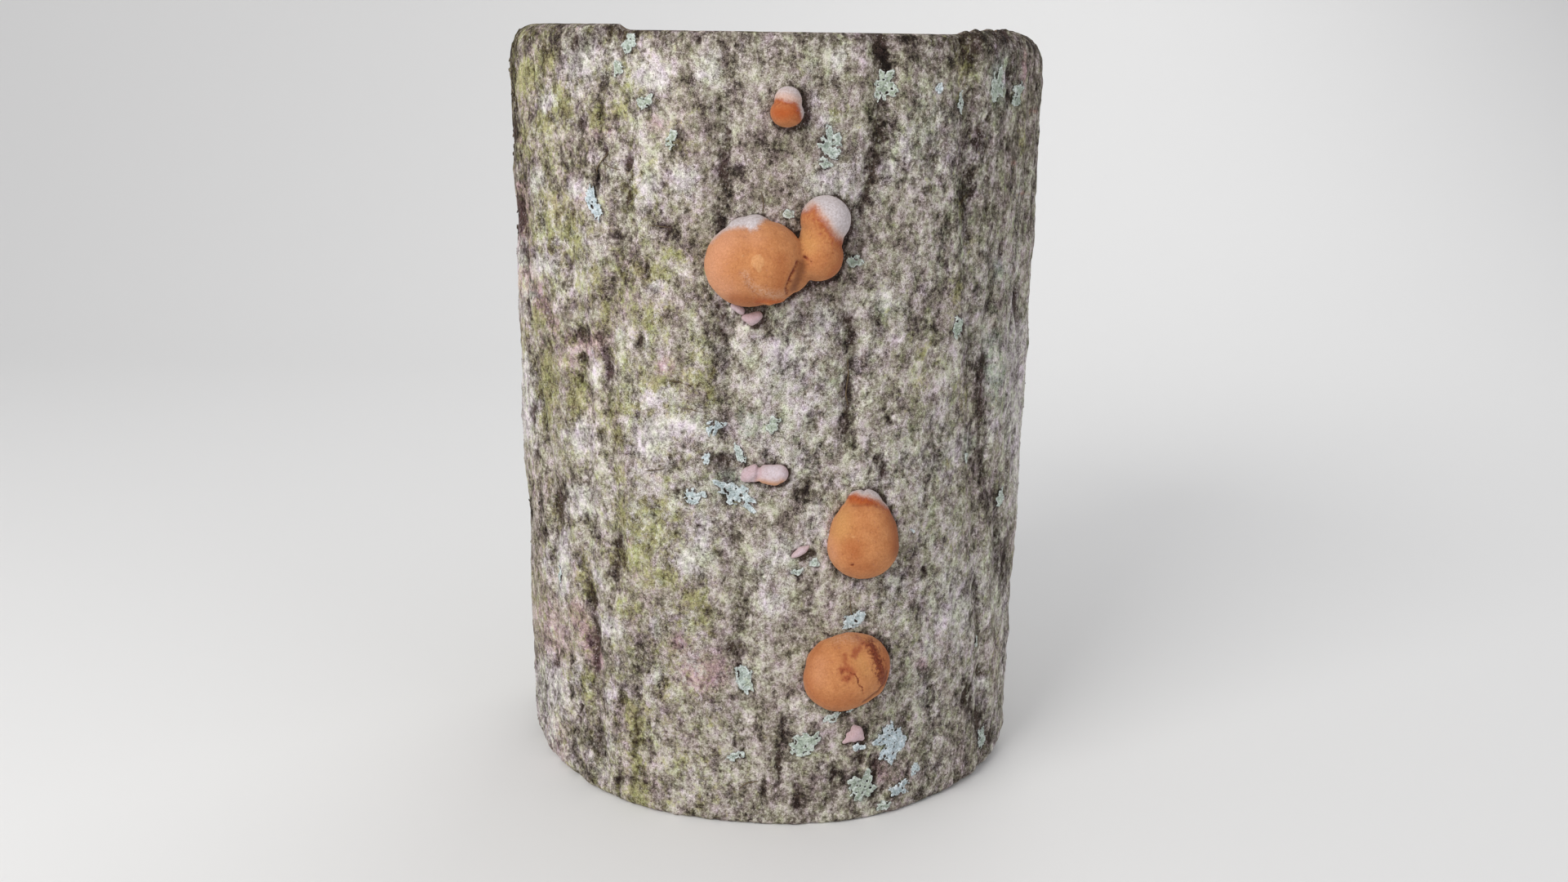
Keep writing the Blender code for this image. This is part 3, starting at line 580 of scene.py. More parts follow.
# How their outline wanders and breaks into holes, and how their lobes fold, curl and ripple, in mm.
# A rosette that is smaller than the full radius wanders less, and each has a part of the noise to itself.
SEED_SPACING = 7.0
CIRCLE_SPACING = 0.37
LOBES_PER_SPOKE = 4.5
ROSETTE_REACH = 1.25
ROSETTE_FILL = 0.84
ROSETTE_LOBES = Relief(1.0 / MM, 1.0, 2, 0.52, 59.0)
FULL_RADIUS = 5.0
LOBE_WAVES = Relief(2.2, 1.0, 2, 0.9, 61.0)
MARGIN_WAVES = Relief(0.9, 1.0, 2, 0.5, 67.0)
HOLE_WAVES = Relief(1.9, 1.0, 2, 1.0, 73.0)
HOLE_DEPTH = 2.4
HOLE_LEVEL = 0.48
LEAST_LIFT = 0.2
FOLD_WAVES = Relief(3.0, 1.0, 1, 1.0, 79.0)
FOLD_LEVELS = (-0.08, 0.08)
FOLD_LIFT = 0.55
CURL_WAVES = Relief(1.6, 1.0, 1, 0.4, 83.0)
RIPPLES = Relief(2.2, 1.0, 2, 0.3 * MM, 91.0)
TIP_DEPTHS = (0.1, 1.3)
# Tufts too small for a solid: place in the photograph in pixels, then size in mm
Tuft = namedtuple("Tuft", "x y radius stretch tilt lobes blue")
TUFTS = (
    Tuft(1116, 649, 0.9, 2.0, -35, 3, 1.0), Tuft(1054, 912, 1.5, 1.3, 20, 3, 0.9),
    Tuft(1149, 108, 2.2, 1.3, 80, 4, 0.9), Tuft(1180, 125, 2.2, 2.2, 95, 5, 0.3),
    Tuft(877, 521, 4.2, 1.2, 30, 5, 0.9), Tuft(866, 560, 2.0, 1.6, 80, 4, 0.9),
    Tuft(946, 520, 3.6, 1.3, 60, 7, 0.1), Tuft(1047, 320, 3.6, 1.2, 0, 6, 0.2),
    Tuft(1226, 608, 4.0, 1.3, 80, 6, 0.2), Tuft(998, 688, 2.4, 1.2, 0, 4, 0.3),
    Tuft(1120, 941, 3.4, 1.0, 0, 6, 0.9), Tuft(1048, 912, 2.2, 1.2, 20, 4, 0.9),
    Tuft(1205, 905, 4.6, 1.6, 95, 7, 0.3), Tuft(900, 925, 3.0, 1.8, 20, 5, 0.3),
    Tuft(1198, 785, 2.6, 1.6, 90, 5, 0.1), Tuft(825, 171, 3.2, 1.7, 80, 6, 0.1),
    Tuft(792, 125, 3.0, 1.8, 30, 6, 0.1), Tuft(772, 52, 3.4, 1.7, 70, 6, 0.3),
    Tuft(1018, 876, 2.4, 1.8, 30, 5, 0.4), Tuft(1010, 200, 2.8, 1.2, 0, 5, 0.2),
    Tuft(915, 840, 3.2, 1.3, -30, 5, 0.1), Tuft(976, 700, 2.0, 2.0, 30, 4, 0.3),
    Tuft(905, 556, 2.6, 2.0, -60, 5, 0.5), Tuft(862, 603, 2.0, 1.2, 0, 4, 0.8),
    Tuft(757, 84, 3.0, 1.4, 60, 6, 0.1), Tuft(682, 703, 2.8, 1.8, 90, 5, 0.5),
    Tuft(965, 262, 2.0, 1.3, 0, 4, 0.2), Tuft(1080, 985, 3.2, 1.5, 10, 6, 0.2),
    Tuft(1186, 560, 2.0, 1.6, 90, 4, 0.2), Tuft(1040, 868, 2.0, 1.2, 0, 4, 0.4),
)
TUFT_SEED = 200
BACK_TUFTS = 26
BACK_TUFT_SEED = 19
BACK_TUFT_TURNS = (88, 272)
BACK_TUFT_HEIGHTS = (14, TRUNK_HEIGHT / MM - 20)
BACK_TUFT_RADII = (2.0, 4.6)
BACK_TUFT_STRETCHES = (1.0, 1.9)
BACK_TUFT_LOBES = (4, 7)
BACK_TUFT_BLUES = (0.0, 0.8)
# Mesh of a lichen: a grid of cells, in mm, whose points a little outside the outline are moved onto it
LICHEN_CELL = 0.32
LEAST_SLOPE = 0.3
KEPT_OUTSIDE = 0.72 * LICHEN_CELL
LICHEN_THICKNESS = 0.2 * MM
UNDERSIDE_SHARE = 0.5
LICHEN_HEIGHTS = (0.6 * MM, TRUNK_HEIGHT - 1.5 * MM)
LICHEN_SAG = 0.4 * MM
LICHEN_SINK = 0.08 * MM
ROUNDED_WITHIN = 0.55
# Painted shade on a rosette's top along its edges
EDGE_SHADE = 0.15

# The bark carries painted shadow in the narrow gap round a fungus and under a lichen, more so away from the
# light.
# Sizes are in mm. A gap's edge lies between two shares of the size of what grows over it, and a lobe
# that is less than the given size wide has a narrower gap.
GAP_REACH = 2.0
GAP_SHIFT_SIDE = 1.7
GAP_SHIFT_DOWN = 1.2
LEAST_GAP_SHARE = 0.3
WIDE_GAP_HALF_SIDE = 12.0
FUNGUS_GAP_EDGE = (0.84, 1.12)
FUNGUS_GAP_SHADOW = 1.1
LICHEN_GAP_SHIFT_SIDE = 0.4 * GAP_SHIFT_SIDE
LICHEN_GAP_SHIFT_DOWN = 0.6 * GAP_SHIFT_DOWN
LICHEN_GAP_EDGE = (0.6, 1.25)
LICHEN_GAP_SHADOW = 0.6

# Loose threads and twig ends on the bark: (x, y) places in the photograph, then radius and lift in mm
Thread = namedtuple("Thread", "path radius lift")
THREADS = (
    Thread(((932, 234), (935, 247), (934, 262)), 0.26, 0.5),
    Thread(((744, 186), (738, 197), (731, 206), (729, 216)), 0.3, 0.6),
    Thread(((738, 197), (750, 205), (760, 208)), 0.18, 0.5),
    Thread(((818, 466), (830, 467), (842, 470)), 0.22, 0.4),
    Thread(((834, 500), (847, 500), (860, 503)), 0.22, 0.4),
    Thread(((785, 577), (799, 575), (815, 573)), 0.22, 0.4),
    Thread(((796, 275), (808, 277), (821, 279)), 0.2, 0.5),
    Thread(((905, 966), (914, 958), (930, 955)), 0.28, 0.4),
    Thread(((1040, 735), (1041, 748), (1043, 756)), 0.3, 0.6),
    Thread(((1040, 440), (1041, 462), (1037, 484), (1041, 500)), 0.3, 0.3),
)
THREAD_SIDES = 6
THREAD_POINTS = 14
THREAD_REST = 0.4
THREAD_ARCH_SHARES = (0.05, 0.95)
THREAD_END = 0.45
THREAD_SWELL = 0.55

# Small grains that Geometry Nodes strew on the bark. Algae and crusts shy from dark places, and flakes
# from the gaps round what grows there. Grains vary in size and in how they are turned, in radians.
STREW_SEED = 5
Strewn = namedtuple("Strewn", "name field density size stretch flatness detail")
GRAIN_SHYNESS = 1.4
FLAKE_LEVELS = (0.6, 0.9)
GRAIN_LEVELS = (0.25, 0.9)
GRAIN_SIZES = (0.45, 1.35)
GRAIN_TURNS = (0.5, 0.5, 6.283)
GRAIN_LUMPS = 0.9
GRAIN_LUMP_SCALE = 1.3
# The most that a face with grains on it may look up or down
STEEPEST = 0.8

# Noise that mottles the materials: cell across in mm, how much taller than wide it is, detail, spread,
# seed and warp; and blends of it, with how much of each goes in
Mottle = namedtuple("Mottle", "cell stretch detail spread seed warp", defaults=(0.0,))
BARK_MOTTLES = {
    "drift": Mottle(24.0, 2.0, 2.0, 0.20, 30.0),
    "blotch": Mottle(7.5, 1.35, 4.0, 0.19, 1.0),
    "mottle": Mottle(3.0, 1.2, 4.0, 0.20, 2.0),
    "fine": Mottle(1.3, 1.1, 3.0, 0.24, 3.0),
    "grit": Mottle(0.5, 1.0, 2.0, 0.27, 4.0),
    "fibre": Mottle(0.7, 9.0, 3.0, 0.24, 5.0),
    "edge": Mottle(5.0, 1.3, 4.0, 0.2, 6.0),
    "fine_edge": Mottle(1.8, 1.1, 3.0, 0.23, 7.0),
    "other_edge": Mottle(6.0, 1.2, 4.0, 0.2, 8.0),
    "fine_other_edge": Mottle(2.0, 1.1, 3.0, 0.23, 9.0),
    "hue": Mottle(3.0, 1.3, 1.5, 0.2, 21.0),
    "broad_hue": Mottle(8.0, 1.8, 2.0, 0.2, 23.0),
    "pits": Mottle(1.7, 1.2, 3.0, 0.2, 24.0, 0.4),
    "flecks": Mottle(0.8, 1.2, 2.0, 0.20, 22.0),
}
BARK_BLENDS = {
    "plain_tone": {"drift": 0.10, "blotch": 0.22, "mottle": 0.21, "fine": 0.21, "grit": 0.26},
    "fibrous_tone": {
        "drift": 0.10, "fibre": 0.24, "blotch": 0.18, "mottle": 0.15, "fine": 0.14, "grit": 0.19,
    },
    "ragged": {"edge": 0.4, "fine_edge": 0.32, "grit": 0.28},
    "ragged_too": {"other_edge": 0.4, "fine_other_edge": 0.32, "grit": 0.28},
    "tint": {"hue": 0.55, "broad_hue": 0.45},
    "hollows": {"blotch": 0.3, "mottle": 0.35, "fine": 0.35},
    "height": {"blotch": 0.16, "mottle": 0.30, "fine": 0.28, "grit": 0.16, "pits": 0.10},
}
FIBROUS_MOST = 0.6
TONE_LEVELS = (0.315, 0.685)
HUE_LEVELS = (0.08, 0.92)
SHADE_LEVELS = (0.18, 0.95)
SHADE_START = 0.6
HOLLOWS_WEIGHT = -1.2
CRUST_LEVELS = (0.2, 0.95)
WOOD_MOTTLES = {
    "wander": Mottle(34.0, 1.0, 2.0, 0.25, 8.0),
    "stain": Mottle(26.0, 1.0, 4.0, 0.25, 9.0),
    "fine": Mottle(1.2, 1.0, 2.0, 0.25, 10.0),
    "saw": Mottle(2.2, 1.0, 1.0, 0.25, 11.0),
}
RING_SPACING = 3.1 * MM
RING_WANDER = 5 * MM
RING_SHARPNESS = 3.0
RAYS_AROUND = 60.0
RAYS_OUTWARD = 40.0
RAY_LEVELS = (0.35, 0.7)
HEART_RADII = (62 * MM, 30 * MM)
INNER_BARK_RADII = (119.5 * MM, 121 * MM)
INNER_BARK_WANDER = 3 * MM
FLESH_MOTTLES = {
    "cloud": Mottle(4.5, 1.0, 4.0, 0.26, 12.0),
    "pile": Mottle(0.85, 1.0, 3.0, 0.23, 13.0),
    "fuzz": Mottle(0.36, 1.0, 2.0, 0.25, 14.0),
    "blotch": Mottle(1.4, 1.0, 3.0, 0.24, 15.0),
}
LICHEN_MOTTLES = {"fine": Mottle(0.7, 1.0, 2.0, 0.25, 16.0), "broad": Mottle(2.0, 1.0, 3.0, 0.25, 17.0)}
ALGAE_MOTTLES = {"patch": Mottle(9.0, 1.4, 3.0, 0.25, 18.0), "fine": Mottle(0.8, 1.0, 2.0, 0.25, 19.0)}
THREAD_MOTTLES = {"fibre": Mottle(0.5, 4.0, 2.0, 0.25, 20.0)}

# Studio, in metres: the floor curves up behind, and the lights look at the middle of the trunk
FLOOR_HALF_WIDTH = 3.2
FLOOR_FRONT = -2.6
FLOOR_BACK = 1.7
FLOOR_TOP = 2.6
FLOOR_BEND = 0.8
FLOOR_BEND_STEPS = 16
FLOOR_COLOR = (0.78, 0.78, 0.77, 1.0)
FLOOR_ROUGHNESS = 0.9
Light = namedtuple("Light", "name place size power color")
LIGHTS = (
    Light("key", (-1.0, -1.25, 1.15), 1.0, 23.5, (1.0, 0.985, 0.965)),
    Light("fill", (1.5, -1.0, 0.7), 1.4, 4.5, (0.97, 0.98, 1.0)),
    Light("back", (0.6, 1.3, 1.3), 1.2, 9.0, (1.0, 1.0, 1.0)),
)
LIGHTS_AIM = (0.0, 0.0, 0.18)
SKY_COLOR = (0.96, 0.96, 1.0, 1.0)
SKY_STRENGTH = 0.5


def wrap_turn(turn):
    """The same turn between -180 and 180 degrees."""
    return (turn + 180.0) % 360.0 - 180.0


def smooth_step(value, low, high):
    """Zero below low, one above high, and smooth between them."""
    share = np.clip((np.asarray(value, dtype=float) - low) / (high - low), 0.0, 1.0)
    return share * share * (3.0 - 2.0 * share)


def back_furrows():
    """The furrows round the back of the trunk, in the layout of the part's source."""
    rng = random.Random(BACK_FURROW_SEED)
    step = (BACK_FURROW_END - BACK_FURROW_START) / BACK_FURROW_COUNT
    furrows = []
    for index in range(BACK_FURROW_COUNT):
        turn = BACK_FURROW_START + (index + 0.5) * step + rng.uniform(*BACK_FURROW_DRIFT)
        foot_height = rng.uniform(*BACK_FURROW_FEET)
        top_height = rng.uniform(*BACK_FURROW_TOPS)
        middle = (foot_height + top_height) / 2
        path = (
            (turn + rng.uniform(*BACK_FURROW_DRIFT), top_height),
            (turn + rng.uniform(*BACK_FURROW_BEND), middle),
            (turn + rng.uniform(*BACK_FURROW_DRIFT), foot_height),
        )
        half_width = rng.uniform(*BACK_FURROW_HALF_WIDTHS)
        furrows.append(Furrow(path, half_width, rng.uniform(*BACK_FURROW_DEPTHS) * MM))
    return furrows


FURROWS = list(FRONT_FURROWS) + back_furrows()


def oval_points(turn, height, out):
    """Points that stand out of the plain, tapering oval by the given amounts, as rows of x, y, z."""
    turn, height, out = np.broadcast_arrays(*(np.asarray(v, dtype=float) for v in (turn, height, out)))
    half_width = TRUNK_HALF_WIDTH * (TRUNK_FOOT_RATIO + (1 - TRUNK_FOOT_RATIO) * height / TRUNK_HEIGHT)
    lean = TRUNK_LEAN * (1 - height / TRUNK_HEIGHT)
    angle = np.radians(turn)
    x = lean + (half_width + out) * np.sin(angle)
    y = -(half_width * TRUNK_DEPTH_RATIO + out) * np.cos(angle)
    return np.stack((x, y, height), axis=-1)


def bark_places(points):
    """Turn, height and distance out of the plain oval of each point: oval_points the other way."""
    x, y, height = points[:, 0], points[:, 1], points[:, 2]
    half_width = TRUNK_HALF_WIDTH * (TRUNK_FOOT_RATIO + (1 - TRUNK_FOOT_RATIO) * height / TRUNK_HEIGHT)
    half_depth = half_width * TRUNK_DEPTH_RATIO
    across = x - TRUNK_LEAN * (1 - height / TRUNK_HEIGHT)
    out = np.zeros_like(x)
    for _ in range(OVAL_STEPS):
        angle = np.arctan2(across / (half_width + out), -y / (half_depth + out))
        out = (across - half_width * np.sin(angle)) * np.sin(angle)
        out += (-y - half_depth * np.cos(angle)) * np.cos(angle)
    return np.degrees(angle), height, out


def noise_field(points, relief):
    """Fractal noise at each point, about -1 to 1, with cells of the given size, taller than wide."""
    across = relief.cell * MM
    up = across * relief.stretch
    return np.array([
        noise.fractal((x / across + relief.seed, y / across, z / up), 1.0, 2.0, relief.octaves)
        for x, y, z in points
    ])


def furrow_relief(turn, height):
    """The swells less the furrows, and how deep in a furrow each place is from 0 to 1."""
    angle = np.radians(turn)
    relief = np.zeros_like(angle)
    for swell in BARK_SWELLS:
        relief += swell.size * np.sin(swell.waves * angle + swell.phase + swell.twist * height)
    height_mm = height / MM
    furrow_share = np.zeros_like(angle)
    for furrow in FURROWS:
        heights = [place[1] for place in reversed(furrow.path)]
        turns = [place[0] for place in reversed(furrow.path)]
        bottom = np.interp(height_mm, heights, turns)
        distance = np.minimum(np.abs(wrap_turn(turn - bottom)) / furrow.half_width, 1.0)
        fade = FURROW_FADE + np.minimum(heights[-1] - height_mm, height_mm - heights[0])
        share = (0.5 + 0.5 * np.cos(math.pi * distance)) * np.clip(fade / FURROW_FADE, 0.0, 1.0)
        relief -= furrow.depth * share
        furrow_share = np.maximum(furrow_share, share)
    return relief, furrow_share


def camera_matrix():
    """Where the photograph's camera stands and how it is turned."""
    return (
        Matrix.Translation(CAMERA_PLACE)
        @ Matrix.Rotation(-CAMERA_YAW, 4, "Z")
        @ Matrix.Rotation(math.pi / 2 - CAMERA_PITCH, 4, "X")
        @ Matrix.Rotation(-CAMERA_ROLL, 4, "Z")
    )


def photo_pixels(points):
    """Where each point shows in the photograph, in its pixels."""
    inverse = np.array(camera_matrix().inverted())
    local = points @ inverse[:3, :3].T + inverse[:3, 3]
    focal = CAMERA_LENS / CAMERA_SENSOR * PHOTO_WIDTH
    x = PHOTO_WIDTH / 2 + focal * local[:, 0] / -local[:, 2]
    y = PHOTO_HEIGHT / 2 - focal * local[:, 1] / -local[:, 2]
    return x, y


def seen_place(x, y):
    """Turn and height of the place on the bark that shows at a pixel of the photograph."""
    turn, height = 0.0, TRUNK_HEIGHT / 2
    turn_step, height_step = 0.5, 2 * MM
    for _ in range(SEEK_STEPS):
        near = oval_points([turn, turn + turn_step, turn], [height, height, height + height_step], 0.0)
        near_x, near_y = photo_pixels(near)
        turn += SEEK_SHARE * turn_step * (x - near_x[0]) / (near_x[1] - near_x[0])
        height += SEEK_SHARE * height_step * (y - near_y[0]) / (near_y[2] - near_y[0])
        turn = min(max(turn, -SEEK_TURN_LIMIT), SEEK_TURN_LIMIT)
    return turn, height / MM


def patch_amounts(turn, points):
    """How much of each kind of patch lies at each place of the bark, as a dictionary of arrays."""
    x, y = photo_pixels(points)
    seen = 1.0 - smooth_step(np.abs(wrap_turn(turn)), *SEEN_TURNS)
    amounts = {}
    for kind, patches in PATCHES.items():
        amount = np.zeros(len(turn))
        for patch in (Patch(*values) for values in patches):
            spread = ((x - patch.x) / patch.half_x) ** 2 + ((y - patch.y) / patch.half_y) ** 2
            amount = np.maximum(amount, patch.amount * np.exp(-PATCH_FALL * spread))
        amounts[kind] = amount * seen
    wander = STREAK_WANDER.size * noise_field(points, STREAK_WANDER)
    for streak in STREAKS:
        aside = np.abs(path_distance(x, y, streak.path)) / streak.half_width + wander
        share = streak.amount * np.exp(-np.maximum(aside, 0.0) ** 2)
        amounts[streak.kind] = np.maximum(amounts[streak.kind], share * seen)
    return amounts


def broad_amounts(turn, height, points):
    """Algae on the left of the front and, in drifts, all round; paler drifts between them."""
    drift = noise_field(points, ALGAE_DRIFT)
    side = wrap_turn(turn)
    up = height / MM
    behind = smooth_step(np.abs(side), *BEHIND_TURNS)
    front = 1.0 - behind
    upper = smooth_step(up, *UPPER_HEIGHTS)
    from_middle = ((side - MIDDLE_TURN) / MIDDLE_TURN_REACH, (up - MIDDLE_HEIGHT) / MIDDLE_HEIGHT_REACH)
    parts = {
        "everywhere": 1.0,
        "left": smooth_step(-side, *LEFT_TURNS) * (1.0 - smooth_step(-side, *SIDE_END_TURNS)),
        "right": smooth_step(side, *RIGHT_TURNS) * (1.0 - smooth_step(side, *SIDE_END_TURNS)),
        "behind": behind,
        "drift": drift,
        "drift_behind": behind * drift,
        "veil": noise_field(points, PALE_VEIL),
        "middle": np.exp(-from_middle[0] ** 2 - from_middle[1] ** 2),
        "upper_right": smooth_step(side, *UPPER_RIGHT_TURNS) * upper * front,
        "lower_right": smooth_step(side, *LOWER_RIGHT_TURNS) * (1.0 - upper) * front,
        "upper_left": smooth_step(-side, *UPPER_LEFT_TURNS) * upper * front,
        "rim": smooth_step(up, *RIM_HEIGHTS),
        "foot": 1.0 - smooth_step(up, *FOOT_HEIGHTS),
    }
    return {
        kind: sum(weight * parts[part] for part, weight in weights.items())
        for kind, weights in BROAD_AMOUNTS.items()
    }


def gap_shadow_amounts(turn, height):
    """How much painted shadow each place gets in the gap round a fungus or under a lichen."""
    side_mm = wrap_turn(turn) * MM_PER_DEGREE
    up_mm = height / MM
    gap = np.zeros(len(turn))
    for lobes in FUNGI.values():
        for lobe in lobes:
            share = min(1.0, LEAST_GAP_SHARE + lobe.half_side / WIDE_GAP_HALF_SIDE)
            reach = GAP_REACH * share
            aside = side_mm - lobe.turn * MM_PER_DEGREE - GAP_SHIFT_SIDE * share
            above = up_mm - lobe.height + GAP_SHIFT_DOWN * share
            spread = np.hypot(aside / (lobe.half_side + reach), above / (lobe.half_up + reach))
            gap = np.maximum(gap, FUNGUS_GAP_SHADOW * (1.0 - smooth_step(spread, *FUNGUS_GAP_EDGE)))
    for lichen in list(LICHENS) + tuft_lichens():
        tilt = math.radians(lichen.tilt)
        aside = wrap_turn(turn - lichen.turn) * MM_PER_DEGREE - LICHEN_GAP_SHIFT_SIDE
        above = up_mm - lichen.height + LICHEN_GAP_SHIFT_DOWN
        along = aside * math.cos(tilt) + above * math.sin(tilt)
        across = above * math.cos(tilt) - aside * math.sin(tilt)
        spread = np.hypot(along / (lichen.radius * lichen.stretch), across / lichen.radius)
        gap = np.maximum(gap, LICHEN_GAP_SHADOW * (1.0 - smooth_step(spread, *LICHEN_GAP_EDGE)))
    return gap


def bark_surface(turn, height, inset=0.0):
    """Points of the finished bark, and the fields that colour it, for arrays of places."""
    turn = np.asarray(turn, dtype=float)
    height = np.asarray(height, dtype=float)
    plain = oval_points(turn, height, 0.0)
    relief, furrow = furrow_relief(turn, height)
    amounts = patch_amounts(turn, plain)
    plates = noise_field(plain, BARK_PLATES)
    knobs = noise_field(plain, BARK_KNOBS)
    crack_noise = noise_field(plain, BARK_CRACKS)
    crack = 1.0 - smooth_step(np.abs(crack_noise), 0.0, CRACK_WIDTH)
    crack *= smooth_step(-plates, *CRACK_LEVELS)
    stranded = strand_share(turn)
    strands = noise_field(plain, BARK_STRANDS) * stranded
    relief += BARK_PLATES.size * plates + BARK_KNOBS.size * knobs + BARK_STRANDS.size * strands
    relief -= BARK_CRACKS.size * crack + HOLLOW_DEPTH * amounts["dark"]
    for kind, amount in broad_amounts(turn, height, plain).items():
        amounts[kind] = amounts[kind] + amount
    # Painted shade where the bark sinks: in furrows, cracks, low places and between strands
    low = smooth_step(-(plates + 0.5 * knobs), *LOW_LEVELS)
    patchy = np.clip(0.5 + FURROW_SHADE.size * noise_field(plain, FURROW_SHADE), 0.0, 1.0)
    dark = furrow * (FURROW_SHADING + FURROW_PATCH_SHADING * patchy) + CRACK_SHADING * crack + LOW_SHADING * low
    amounts["dark"] += dark - STRAND_SHADING * np.minimum(strands, 0.0)
    amounts["strands"] = stranded
    return oval_points(turn, height, relief - inset), amounts, relief


def strand_share(turn):
    """Where the bark breaks into fine upright strands: its right side, and in places round the back."""
    side = wrap_turn(turn)
    right = smooth_step(side, *STRAND_TURNS)
    back = 0.5 + 0.5 * np.sin(np.radians(STRAND_BACK_WAVES * turn + STRAND_BACK_PHASE))
    behind = smooth_step(np.abs(side), *STRAND_BACK_TURNS)
    return np.clip(right * (1 - behind) + behind * back, 0.0, 1.0)


def add_object(name, mesh, *materials):
    """Link a mesh to the scene as an object at the origin, with its materials."""
    for material in materials:
        mesh.materials.append(material)
    obj = bpy.data.objects.new(name, mesh)
    bpy.context.scene.collection.objects.link(obj)
    return obj


def add_field(mesh, name, values):
    """Keep one number for each point of a mesh, for its material to read."""
    field = mesh.attributes.new(name, "FLOAT", "POINT")
    field.data.foreach_set("value", np.asarray(values, dtype=np.float32))


def rim_radius(turn, front, side):
    """Radius of a worn rim, which grows from the front and back towards the sides."""
    return front + (side - front) * np.sin(np.radians(turn)) ** 4


def trunk_profile(turn):
    """Heights and insets up one line of the trunk, from the lower cut to the upper one."""
    foot = rim_radius(turn, FOOT_RIM_FRONT, FOOT_RIM_SIDE)
    top = rim_radius(turn, TOP_RIM_FRONT, TOP_RIM_SIDE)
    foot_bend = np.linspace(0, math.pi / 2, FOOT_RIM_STEPS, endpoint=False)
    top_bend = np.linspace(0, math.pi / 2, TOP_RIM_STEPS + 1)[1:]
    heights = np.concatenate((
        foot * (1 - np.cos(foot_bend)),
        np.linspace(foot, TRUNK_HEIGHT - top, WALL_RINGS),
        TRUNK_HEIGHT - top * (1 - np.sin(top_bend)),
    ))
    insets = np.concatenate((
        foot * (1 - np.sin(foot_bend)),
        np.zeros(WALL_RINGS),
        top * (1 - np.cos(top_bend)),
    ))
    return heights, insets


def column_turns():
    """Turns of the mesh's columns: finer on the front than on the back."""
    front = np.linspace(-FRONT_EDGE, FRONT_EDGE, FRONT_COLUMNS, endpoint=False)
    back = np.linspace(FRONT_EDGE, 360.0 - FRONT_EDGE, BACK_COLUMNS, endpoint=False)
    return np.concatenate((front, back))


def cut_rows(edge, centre, turns, sign):
    """Rows of points across a saw cut, from just inside its rim to near its centre."""
    rows = []
    for share in CAP_SHARES:
        row = centre + (edge - centre) * share
        dip = CUT_ROUGHNESS.size * noise_field(row, CUT_ROUGHNESS)
        bend = CHECK_BEND * math.sin(CHECK_BEND_WAVES * share)
        for check_turn, first, last in CHECKS:
            aside = np.abs(wrap_turn(turns - check_turn - bend))
            inside = smooth_step(share, first - 0.05, first + 0.1)
            inside = inside * (1 - smooth_step(share, last - 0.1, last))
            dip -= CHECK_DEPTH * inside * np.clip(1.0 - aside * share / CHECK_WIDTH, 0.0, 1.0)
        row[:, 2] += sign * np.minimum(dip, 0.0)
        rows.append(row)
    return rows


def step_saw_cut(points, wall_count):
    """Raise the rim of the top cut on both sides, where the saw ran a little higher, and wear it.

    Splinters stand only on the wall's own points, which come first.
    """
    across, along = points[:, 0], points[:, 1] / TRUNK_DEPTH_RATIO
    turn = np.degrees(np.arctan2(across, -along))
    share = np.hypot(across, along) / TRUNK_HALF_WIDTH
    inward = SAW_STEP_TURNING * np.maximum(RIM_SHARE - share, 0.0)
    left = 1 - smooth_step(
        turn + inward, SAW_STEP_LEFT - SAW_STEP_SLOPE_LEFT, SAW_STEP_LEFT + SAW_STEP_SLOPE_LEFT,
    )
    right = smooth_step(
        turn - inward, SAW_STEP_RIGHT - SAW_STEP_SLOPE_RIGHT, SAW_STEP_RIGHT + SAW_STEP_SLOPE_RIGHT,
    )
    raised = SAW_STEP * np.maximum(left, SAW_STEP_RIGHT_SHARE * right)
    ending = 1.0 - smooth_step(np.abs(turn), *SAW_STEP_END_TURNS)
    raised *= smooth_step(share, *SAW_STEP_INNER_SHARES) * ending
    worn = RIM_WEAR.size * noise_field(points, RIM_WEAR)
    wall_turn = turn[:wall_count]
    splinter = np.zeros(wall_count)
    for splinter_turn, size in SPLINTERS:
        aside = np.abs(wall_turn - splinter_turn) / SPLINTER_WIDTH
        splinter = np.maximum(splinter, size * MM * np.clip(1.0 - aside, 0.0, 1.0))
    raised[:wall_count] += splinter
    near_top = smooth_step(points[:, 2], *RIM_WEAR_HEIGHTS)
    points[:, 2] += (raised + np.minimum(worn, 0.0)) * near_top


def grid_faces(columns, rings):
    """Four-sided faces of a closed wall of columns, whose points run up each column in turn."""
    faces = []
    for column in range(columns):
        start = column * rings
        following = ((column + 1) % columns) * rings
        for ring in range(rings - 1):
            faces.append((start + ring, following + ring, following + ring + 1, start + ring + 1))
    return faces


def cut_faces(edge_ids, row_start, row_count, centre_id, upward):
    """Faces of a saw cut: rings of points within the rim, and a fan round the centre."""
    columns = len(edge_ids)
    rows = [list(edge_ids)]
    for row in range(row_count):
        rows.append([row_start + row * columns + column for column in range(columns)])
    faces = []
    for outer, inner in zip(rows, rows[1:]):
        for column in range(columns):
            following = (column + 1) % columns
            faces.append((outer[column], outer[following], inner[following], inner[column]))
    last = rows[-1]
    for column in range(columns):
        faces.append((last[column], last[(column + 1) % columns], centre_id))
    return faces if upward else [tuple(reversed(face)) for face in faces]


